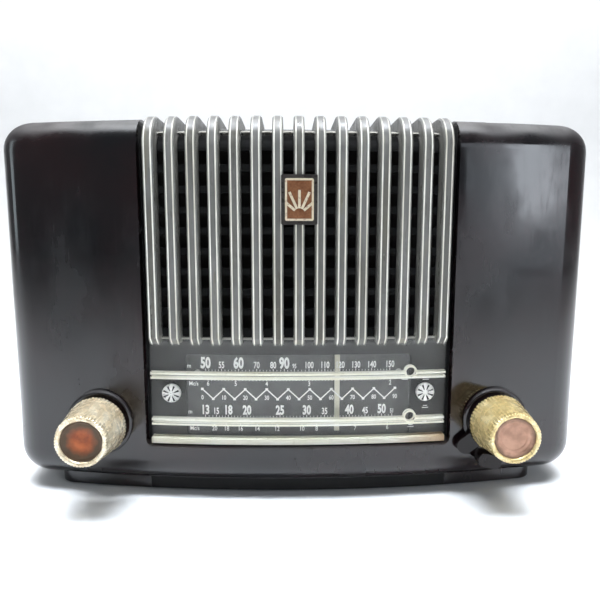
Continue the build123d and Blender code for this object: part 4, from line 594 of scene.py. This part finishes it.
def acrylic_finish():
    """Clear dial window, satin ribs with painted highlights on their edges and sides and painted shade where
    they roll over the top, clearer webs between them with painted highlight rims, and cream paint in bands
    with painted shade along the reeds.
    """
    material, tree, bsdf, where = start_finish("aged_acrylic")
    part = tree.nodes.new("ShaderNodeSeparateXYZ")
    tree.links.new(where, part.inputs["Vector"])
    x, z = part.outputs["X"], part.outputs["Z"]
    turn = reckon(tree, "ADD", reckon(tree, "DIVIDE", x, RIB_PITCH), 0.5)
    from_rib = reckon(tree, "ABSOLUTE", reckon(tree, "SUBTRACT", reckon(tree, "FRACT", turn), 0.5))
    # Painted highlight: a bright cream line down each edge of every rib.
    line = reckon(tree, "MULTIPLY", spread(tree, from_rib, 0, 1, *HIGHLIGHT_LINE_STARTS),
                  spread(tree, from_rib, 1, 0, *HIGHLIGHT_LINE_ENDS))
    web = spread(tree, from_rib, 0, 1, *WEB_STARTS)
    ribs = spread(tree, z, 0, 1, *RIBS_FOOT)

    def band(low_mm, high_mm):
        """One between two heights and nothing elsewhere."""
        above = reckon(tree, "GREATER_THAN", z, low_mm * MM)
        below = reckon(tree, "LESS_THAN", z, high_mm * MM)
        return reckon(tree, "MULTIPLY", above, below)

    def from_ring(height_mm):
        """Distance from the middle of a painted ring at the right end of the ridges."""
        sideways = reckon(tree, "POWER", reckon(tree, "SUBTRACT", x, RING_X), 2.0)
        upward = reckon(tree, "POWER", reckon(tree, "SUBTRACT", z, height_mm * MM), 2.0)
        return reckon(tree, "SQRT", reckon(tree, "ADD", sideways, upward))

    near = reckon(tree, "MINIMUM", *[from_ring(height) for height in RING_HEIGHTS])
    ring = reckon(tree, "LESS_THAN", near, RING_OUTER)
    hole = reckon(tree, "LESS_THAN", near, RING_INNER)
    upper_ridges = reckon(tree, "ADD", *[band(*heights) for heights in UPPER_RIDGES])
    lower_ridges = reckon(tree, "ADD", *[band(*heights) for heights in LOWER_RIDGES])
    foot = band(*FOOT_BAND)
    painted = reckon(tree, "MAXIMUM", reckon(tree, "ADD", upper_ridges, lower_ridges), foot)
    painted = reckon(tree, "SUBTRACT", reckon(tree, "MAXIMUM", painted, ring), hole)
    painted = reckon(tree, "MAXIMUM", painted, 0.0)
    patch = cloudy(tree, where, 9, 4, (1, 1, 6))
    rib_face = tones(tree, patch, (0.28, (0.14, 0.130, 0.100)), (0.45, (0.165, 0.162, 0.150)),
                     (0.58, (0.22, 0.218, 0.205)), (0.75, (0.25, 0.225, 0.15)))
    # Painted highlight: the rib's sides are lightened.
    side = spread(tree, from_rib, 0, 0.55, *SIDE_HIGHLIGHT_STARTS)
    rib_face = over(tree, side, rib_face, (0.30, 0.295, 0.265))
    rib_highlight = tones(tree, cloudy(tree, where, 14, 3, (1, 1, 3)), (0.3, (0.60, 0.57, 0.47)),
                     (0.7, (0.98, 0.96, 0.87)))
    rib_colour = over(tree, line, rib_face, rib_highlight)
    # Painted highlight: bright cream bands on the rims of the webs.
    rim = reckon(tree, "MAXIMUM", *[band(*heights) for heights in WEB_RIM_HIGHLIGHTS])
    rib_colour = over(tree, web, rib_colour, (0.14, 0.14, 0.138))
    rib_colour = over(tree, reckon(tree, "MULTIPLY", web, rim), rib_colour, (0.75, 0.73, 0.64))
    # Painted shade: the ribs darken where they roll over the top edge.
    roll_shade = spread(tree, z, 0, 0.75, TOP - 6 * MM, TOP - 1 * MM)
    rib_colour = over(tree, roll_shade, rib_colour, (0.10, 0.10, 0.098))
    colour = over(tree, ribs, (0.46, 0.46, 0.44), rib_colour)
    amber = spread(tree, x, 0, 0.7, 0.040, 0.066)
    cream = tones(tree, cloudy(tree, where, 5, 4, (4, 1, 1)), (0.3, (0.86, 0.82, 0.64)),
                  (0.7, (0.97, 0.96, 0.86)))
    reeds = reckon(tree, "SINE", reckon(tree, "MULTIPLY", z, 2 * math.pi / REED_PITCH))
    # Painted shade: a darker line along each reed of the foot band.
    shaded = reckon(tree, "MULTIPLY", foot, spread(tree, reeds, 0, 0.5, 0.2, 0.9))
    cream = over(tree, shaded, cream, (0.36, 0.33, 0.22))
    cream = over(tree, reckon(tree, "MULTIPLY", amber, foot), cream, (0.50, 0.27, 0.09))
    tree.links.new(over(tree, painted, colour, cream), bsdf.inputs["Base Color"])
    bar = reckon(tree, "MULTIPLY", ribs, reckon(tree, "SUBTRACT", 1.0, web))
    solid = reckon(tree, "ADD", reckon(tree, "MULTIPLY", bar, 0.62), 0.11)
    solid = reckon(tree, "ADD", solid, reckon(tree, "MULTIPLY", reckon(tree, "MULTIPLY", line, ribs), 0.25))
    solid = reckon(tree, "ADD", solid, reckon(tree, "MULTIPLY", reckon(tree, "MULTIPLY", web, ribs), 0.35))
    solid = reckon(tree, "MAXIMUM", solid, reckon(tree, "MULTIPLY", painted, 0.96))
    tree.links.new(solid, bsdf.inputs["Alpha"])
    satin = spread(tree, cloudy(tree, where, 3, 4, (1, 1, 4)), 0.16, 0.34)
    satin = reckon(tree, "MULTIPLY", satin, reckon(tree, "MAXIMUM", ribs, painted))
    tree.links.new(reckon(tree, "ADD", satin, 0.10), bsdf.inputs["Roughness"])
    relief(tree, bsdf, cloudy(tree, where, 3, 2, (1, 1, 8)), 0.01)
    relief(tree, bsdf, reckon(tree, "MULTIPLY", reeds, foot), 0.10)
    bsdf.inputs["IOR"].default_value = 1.49
    return material


dress(acrylic_finish(), "front_moulding")

# ---- Dial screws ---------------------------------------------------------------------------
# Two turned screws, nickel plated, with rosette heads. They hold the clear moulding to the
# cabinet.
WEDGES = 8
# The dark wedges: their width as a share of their spacing, and where they end within the head.
WEDGE_EDGE, WEDGE_OUTER, WEDGE_INNER = (0.13, 0.18), (0.84, 0.90), (0.26, 0.36)


def rosette_nickel():
    """Nickel plate, dulled, with the sunk wedges of the rosette coloured near black."""
    material = metal("nickel_plate", (0.55, 0.545, 0.52), (0.90, 0.89, 0.85), 0.36, 0.9, (1, 1, 1), 0.7)
    tree = material.node_tree
    bsdf = tree.nodes["Principled BSDF"]
    part = tree.nodes.new("ShaderNodeSeparateXYZ")
    tree.links.new(tree.nodes.new("ShaderNodeTexCoord").outputs["Object"], part.inputs["Vector"])
    low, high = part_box("scale_screws")
    head = (high.z - low.z) / 2
    across = reckon(tree, "SUBTRACT", reckon(tree, "ABSOLUTE", part.outputs["X"]), high.x - head)
    up = reckon(tree, "SUBTRACT", part.outputs["Z"], low.z + head)
    angle = reckon(tree, "MULTIPLY", reckon(tree, "ARCTAN2", up, across), WEDGES / (2 * math.pi))
    from_wedge = reckon(tree, "ABSOLUTE", reckon(tree, "SUBTRACT", reckon(tree, "FRACT", angle), 0.5))
    wedge = spread(tree, from_wedge, 1, 0, *WEDGE_EDGE)
    radius = reckon(tree, "SQRT", reckon(tree, "ADD", reckon(tree, "POWER", across, 2.0),
                                         reckon(tree, "POWER", up, 2.0)))
    outer = spread(tree, radius, 1, 0, *[head * share for share in WEDGE_OUTER])
    inner = spread(tree, radius, 0, 1, *[head * share for share in WEDGE_INNER])
    dark = reckon(tree, "MULTIPLY", wedge, reckon(tree, "MULTIPLY", outer, inner))
    plated = bsdf.inputs["Base Color"].links[0].from_socket
    # The sunk wedges are coloured near black.
    tree.links.new(over(tree, dark, plated, (0.012, 0.011, 0.010)), bsdf.inputs["Base Color"])
    relief(tree, bsdf, reckon(tree, "MULTIPLY", dark, -1.0), 0.25)
    return material


dress(rosette_nickel(), "scale_screws")

# ---- Badge ---------------------------------------------------------------------------------
# A pressed plate in dark enamel, with a stamped copper tile edged in cream let into it. A plain
# sunray fan stands on the tile.
dress(sprayed("badge_enamel", (0.02, 0.017, 0.016), (0.045, 0.038, 0.034), 0.3), "badge_plate")
BORDER = (0.95 * MM, 0.85 * MM)
RAYS = (0.15 * MM, 0.3 * MM)


def badge_tile_finish():
    """Copper under a cream border, with the rays of the fan picked out in pale gilt."""
    material = metal("badge_copper", (0.20, 0.075, 0.03), (0.42, 0.19, 0.09), 0.4, 0.8, (1, 1, 1), 0.5)
    tree = material.node_tree
    bsdf = tree.nodes["Principled BSDF"]
    part = tree.nodes.new("ShaderNodeSeparateXYZ")
    where = tree.nodes.new("ShaderNodeTexCoord").outputs["Object"]
    tree.links.new(where, part.inputs["Vector"])
    low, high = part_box("badge_emblem")
    sideways = reckon(tree, "ABSOLUTE", part.outputs["X"])
    upward = reckon(tree, "ABSOLUTE", reckon(tree, "SUBTRACT", part.outputs["Z"], (low.z + high.z) / 2))
    half_height = (high.z - low.z) / 2
    rim = reckon(tree, "MAXIMUM", spread(tree, sideways, 0, 1, *[high.x - width for width in BORDER]),
                 spread(tree, upward, 0, 1, *[half_height - width for width in BORDER]))
    rays = spread(tree, part.outputs["Y"], 1, 0, *[low.y + depth for depth in RAYS])
    worn = spread(tree, cloudy(tree, where, 1.2, 4), 1, 0.35, 0.55, 0.7)
    bright = reckon(tree, "MULTIPLY", reckon(tree, "MAXIMUM", rim, rays), worn)
    copper = bsdf.inputs["Base Color"].links[0].from_socket
    tree.links.new(over(tree, bright, copper, (0.86, 0.76, 0.56)), bsdf.inputs["Base Color"])
    return material


dress(badge_tile_finish(), "badge_emblem")

# ---- Knobs ---------------------------------------------------------------------------------
# Tapered mouldings, fluted at both rims and lightly crumpled between, under gilt paint with soft
# streaks and dirt. Each is pushed on its spindle and held by a grub screw from below.


def gilt_finish(name, dark, middle, light):
    """Gilt paint with soft streaks along the knob, and dirt where it has crazed."""
    material, tree, bsdf, where = start_finish(name)
    streaks = reckon(tree, "ADD", reckon(tree, "MULTIPLY", cloudy(tree, where, 4.5, 3, (1, 2.5, 1)), 0.6),
                     reckon(tree, "MULTIPLY", cloudy(tree, where, 8, 3), 0.4))
    body = tones(tree, streaks, (0.30, dark), (0.50, middle), (0.70, light))
    dirt = spread(tree, cloudy(tree, where, 2.6, 4), 0.28, 0, 0.30, 0.38)
    tree.links.new(over(tree, dirt, body, tuple(c * 0.5 for c in dark)), bsdf.inputs["Base Color"])
    tree.links.new(spread(tree, cloudy(tree, where, 2.5, 3), 0.16, 0.36), bsdf.inputs["Roughness"])
    bsdf.inputs["Metallic"].default_value = 0.4
    bsdf.inputs["Coat Weight"].default_value = 0.6
    bsdf.inputs["Coat Roughness"].default_value = 0.15
    relief(tree, bsdf, cloudy(tree, where, 3.4, 2), 0.16)
    return material


champagne = gilt_finish("champagne_gilt", (0.56, 0.43, 0.27), (0.74, 0.62, 0.42), (0.94, 0.87, 0.70))
warm_gilt = gilt_finish("warm_gilt", (0.52, 0.38, 0.15), (0.70, 0.54, 0.24), (0.92, 0.80, 0.48))
FLUTES = 52
FLUTE_STEPS = 8
# Each ring: share of the length from the back, radius in millimetres, and how deep its flutes are.
KNOB_RINGS = ((0.0, 4.0, 0), (0.0, 9.0, 0), (0.0, 12.6, 0.3), (0.012, 13.1, 0.7), (0.04, 13.4, 1),
              (0.10, 13.25, 1), (0.14, 13.0, 0.3), (0.2, 12.85, 0.12), (0.3, 12.6, 0.12),
              (0.4, 12.35, 0.12), (0.5, 12.1, 0.12), (0.6, 11.85, 0.12), (0.7, 11.6, 0.12),
              (0.8, 11.35, 0.12), (0.86, 11.15, 0.3), (0.9, 11.24, 0.9), (0.96, 11.1, 0.9),
              (0.985, 10.85, 0.8), (1.0, 10.4, 0.4), (1.0, 9.7, 0.1), (0.99, 9.2, 0),
              (0.97, 8.95, 0), (0.9, 8.9, 0))
KNOB_BACK_RADIUS, KNOB_TAPER = 13.5, 2.5
FLUTE_DEPTH = 0.55
# The crumpling: how far round and along the knob it varies, its fineness, height and sinking.
CRUMPLE_ROUND, CRUMPLE_ALONG, CRUMPLE_FINE, CRUMPLE_HEIGHT, CRUMPLE_SUNK = 4.2, 7.5, 0.6, 0.26, 0.16


def knob(name, cad_node, body, seed, gilt):
    """A gilt knob on the axis of its CAD node, built ring by ring from the back to the front."""
    low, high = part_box(cad_node)
    centre = Vector(((low.x + high.x) / 2, high.y, (low.z + high.z) / 2))
    length = high.y - low.y
    steps = FLUTES * FLUTE_STEPS
    mesh = bmesh.new()
    rings = []
    for share, radius, flute in KNOB_RINGS:
        ring = []
        for i in range(steps):
            angle = 2 * math.pi * i / steps
            wave = abs(math.sin(angle * FLUTES / 2))
            place = Vector((math.cos(angle) * CRUMPLE_ROUND, share * CRUMPLE_ALONG + seed,
                            math.sin(angle) * CRUMPLE_ROUND))
            crinkle = noise.fractal(place * CRUMPLE_FINE, 1.0, 2.0, 3) * CRUMPLE_HEIGHT
            crumpled = 1 if 0.02 < share < 0.98 else 0.3
            r = radius - flute * FLUTE_DEPTH * (1 - wave) + (crinkle - CRUMPLE_SUNK) * crumpled
            r = min(r, KNOB_BACK_RADIUS - KNOB_TAPER * share)
            ring.append(mesh.verts.new((r * MM * math.cos(angle), -share * length, r * MM * math.sin(angle))))
        rings.append(ring)
    for lower, upper in zip(rings, rings[1:]):
        for i in range(steps):
            j = (i + 1) % steps
            mesh.faces.new((lower[i], lower[j], upper[j], upper[i]))
    mesh.faces.new(rings[0][::-1])
    mesh.faces.new(rings[-1])
    bmesh.ops.recalc_face_normals(mesh, faces=mesh.faces)
    data = bpy.data.meshes.new(name)
    mesh.to_mesh(data)
    mesh.free()
    data.shade_smooth()
    piece = bpy.data.objects.new(name, data)
    bpy.context.scene.collection.objects.link(piece)
    piece.location = centre
    data.materials.append(gilt)
    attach(piece, body)
    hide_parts(cad_node)


knob("gilt_tuning_knob", "tuning_knob", "tuning", 3.0, warm_gilt)
knob("gilt_volume_knob", "volume_knob", "volume", 11.0, champagne)

# ---- Knob inserts --------------------------------------------------------------------------
# Turned copper discs let into the knobs' fronts, lacquered red on the left and salmon on the
# right. The lathe has left fine rings, and the edge of each dish is darkened as painted shade.
LATHE_PITCH = 0.35 * MM
DISC_TURNS, DISC_EDGE = 128, 0.12 * MM


def lacquer(name, dark, light, rim, middle_mm, rim_mm):
    """Lacquer over turned copper: a clouded middle, a ring of painted shade round it at the dish's edge, and
    fine lathe rings.
    """
    material, tree, bsdf, where = start_finish(name)
    part = tree.nodes.new("ShaderNodeSeparateXYZ")
    tree.links.new(where, part.inputs["Vector"])
    squares = reckon(tree, "ADD", reckon(tree, "POWER", part.outputs["X"], 2.0),
                     reckon(tree, "POWER", part.outputs["Z"], 2.0))
    radius = reckon(tree, "SQRT", squares)
    lathe = reckon(tree, "SINE", reckon(tree, "MULTIPLY", radius, 2 * math.pi / LATHE_PITCH))
    body = tones(tree, cloudy(tree, where, 4, 5), (0.35, dark), (0.65, light))
    # Painted shade: the rim colour darkens the edge of the dish, its border made ragged by noise.
    ragged_radius = reckon(tree, "ADD", radius, spread(tree, cloudy(tree, where, 3, 4), -0.0005, 0.0005))
    tree.links.new(over(tree, spread(tree, ragged_radius, 0, 0.92, middle_mm * MM, rim_mm * MM), body, rim),
                   bsdf.inputs["Base Color"])
    tree.links.new(spread(tree, cloudy(tree, where, 2, 4), 0.35, 0.55), bsdf.inputs["Roughness"])
    relief(tree, bsdf, lathe, 0.010)
    bsdf.inputs["Metallic"].default_value = 0.25
    return material


def insert(name, cad_node, body, material, steps_mm):
    """A shallow turned dish. steps_mm are radius and depth below the rim, from the middle out."""
    low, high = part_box(cad_node)
    centre = Vector(((low.x + high.x) / 2, low.y, (low.z + high.z) / 2))
    profile = [(r * MM, d * MM) for r, d in steps_mm]
    profile.append((profile[-1][0], high.y - low.y))
    turns = DISC_TURNS
    points = [(0, profile[0][1], 0)]
    for r, d in profile:
        points += [(r * math.cos(2 * math.pi * i / turns), d, r * math.sin(2 * math.pi * i / turns))
                   for i in range(turns)]
    faces = [(0, 1 + i, 1 + (i + 1) % turns) for i in range(turns)]
    for k in range(len(profile) - 1):
        a, b = 1 + k * turns, 1 + (k + 1) * turns
        faces += [(a + i, b + i, b + (i + 1) % turns, a + (i + 1) % turns) for i in range(turns)]
    last = 1 + (len(profile) - 1) * turns
    faces.append(tuple(last + i for i in reversed(range(turns))))
    data = bpy.data.meshes.new(name)
    data.from_pydata(points, [], faces)
    data.shade_smooth()
    data.materials.append(material)
    piece = bpy.data.objects.new(name, data)
    bpy.context.scene.collection.objects.link(piece)
    piece.location = centre
    edges = piece.modifiers.new("edges", "BEVEL")
    edges.width = DISC_EDGE
    edges.segments = 2
    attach(piece, body)
    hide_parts(cad_node)


# The third colour of each lacquer is its painted shade at the dish's edge.
red = lacquer("red_lacquer", (0.22, 0.045, 0.010), (0.42, 0.105, 0.028), (0.055, 0.042, 0.022), 3.4, 6.8)
salmon = lacquer("salmon_lacquer", (0.36, 0.19, 0.125), (0.56, 0.32, 0.22), (0.15, 0.085, 0.05), 6.8, 8.4)
insert("volume_disc", "volume_knob_insert", "volume", red,
       ((2.6, 0.75), (5.3, 0.70), (5.8, 0.45), (7.6, 0.40), (8.1, 0.05), (8.75, 0.0)))
insert("tuning_disc", "tuning_knob_insert", "tuning", salmon,
       ((2.2, 0.9), (5.2, 0.85), (5.5, 0.6), (6.8, 0.55), (7.1, 0.3), (8.0, 0.25), (8.3, 0.0), (8.75, 0.0)))

# ---- Wave-change lever ---------------------------------------------------------------------
# A small lever of dark phenolic, moulded, on the tube round the tuning spindle. A thumb tab
# and a small pointing arm stand out beside the knob.
lever_phenolic = phenolic("lever_phenolic", (0.003, 0.002, 0.002), (0.008, 0.004, 0.004), 0.45)
lever_phenolic.node_tree.nodes["Principled BSDF"].inputs["IOR"].default_value = 1.36
dress(lever_phenolic, "wave_lever")

# ---- Rear cover ----------------------------------------------------------------------------
# A pressed fibre board, brown and matt, punched for air, sockets and cord. Four screws hold it
# to the back of the cabinet.
dress(powdery("fibre_board", (0.10, 0.055, 0.03), (0.22, 0.13, 0.075), 2.2, 0.85, 0.09), "rear_cover")
dress(zinc, "rear_cover_screws")

# ---- Floor, light and camera ---------------------------------------------------------------
# A pale matt table that bends up into a wall, and six soft lights: one overhead, two at the
# right, one at the left edge, and one each for the wall and the table.
floor_mesh = bpy.data.meshes.new("pale_floor")
WIDE, BEHIND, AHEAD, RISE, BEND, BEND_STEPS = 3.0, 1.2, 2.0, 2.2, 0.4, 16
profile = [(-AHEAD, 0.0)]
for i in range(BEND_STEPS + 1):
    a = math.pi / 2 * i / BEND_STEPS
    profile.append((BEHIND - BEND + BEND * math.sin(a), BEND - BEND * math.cos(a)))
profile.append((BEHIND, RISE))
floor_mesh.from_pydata([(side * WIDE, y, z) for y, z in profile for side in (-1, 1)], [],
                       [(2 * i, 2 * i + 1, 2 * i + 3, 2 * i + 2) for i in range(len(profile) - 1)])
floor_mesh.shade_smooth()
floor = bpy.data.objects.new("pale_floor", floor_mesh)
bpy.context.scene.collection.objects.link(floor)
floor_finish, floor_tree, floor_bsdf, floor_where = start_finish("pale_table")
floor_tree.links.new(tones(floor_tree, cloudy(floor_tree, floor_where, 60, 4), (0.3, (0.80, 0.81, 0.82)),
                           (0.7, (0.84, 0.85, 0.86))), floor_bsdf.inputs["Base Color"])
floor_bsdf.inputs["Roughness"].default_value = 0.6
floor_mesh.materials.append(floor_finish)


def soft_light(name, place, aim, size, power, colour=(1, 1, 1), spread_degrees=180):
    """A rectangular light at place, turned towards aim, with size and place in metres."""
    data = bpy.data.lights.new(name, "AREA")
    data.shape = "RECTANGLE"
    data.size, data.size_y = size
    data.energy = power
    data.color = colour
    data.spread = math.radians(spread_degrees)
    lamp = bpy.data.objects.new(name, data)
    lamp.location = place
    lamp.rotation_euler = (Vector(aim) - Vector(place)).to_track_quat("-Z", "Y").to_euler()
    bpy.context.scene.collection.objects.link(lamp)


soft_light("overhead", (0.0, -0.1, 1.3), (0, -0.02, 0), (1.5, 0.25), 3.8, (0.93, 0.96, 1.0), 68)
soft_light("right_window", (1.05, -1.0, 0.42), (0.1, -0.03, 0.12), (0.26, 0.55), 2.2, (0.86, 0.92, 1.0))
soft_light("right_haze", (1.25, -1.25, 0.36), (0.1, -0.03, 0.10), (0.75, 1.0), 3.4, (0.82, 0.90, 1.0))
soft_light("left_edge", (-1.5, -0.1, 0.45), (-0.1, 0, 0.08), (0.3, 0.8), 1.5, (0.80, 0.94, 1.0))
soft_light("wall_wash", (0.0, 0.55, 1.7), (0, 1.2, 0.3), (2.6, 0.5), 38)
soft_light("floor_wash", (0.0, -0.25, 1.2), (0, -0.12, 0), (1.2, 0.25), 1.7, (0.86, 0.92, 1.0), 40)
world = bpy.data.worlds.new("studio")
world.use_nodes = True
world.node_tree.nodes["Background"].inputs["Color"].default_value = (0.9, 0.95, 1.0, 1)
world.node_tree.nodes["Background"].inputs["Strength"].default_value = 0.22
bpy.context.scene.world = world
bpy.context.scene.view_settings.view_transform = "Standard"

# The camera stands close in front, a little above the dial, and looks slightly down.
CAMERA_SIDE, CAMERA_AHEAD, CAMERA_HEIGHT = -0.00481, 0.23064, 0.1218
LOOK_DOWN, LEAN, LOOK_ROUND = 7.384, -0.05, -1.271
camera_data = bpy.data.cameras.new("camera")
camera_data.sensor_width = 36
camera_data.lens = 32.28
camera_data.clip_start = 0.01
camera = bpy.data.objects.new("camera", camera_data)
camera.location = (CAMERA_SIDE, FRONT - CAMERA_AHEAD, CAMERA_HEIGHT)
camera.rotation_euler = (math.radians(90 - LOOK_DOWN), math.radians(LEAN), math.radians(LOOK_ROUND))
bpy.context.scene.collection.objects.link(camera)
bpy.context.scene.camera = camera
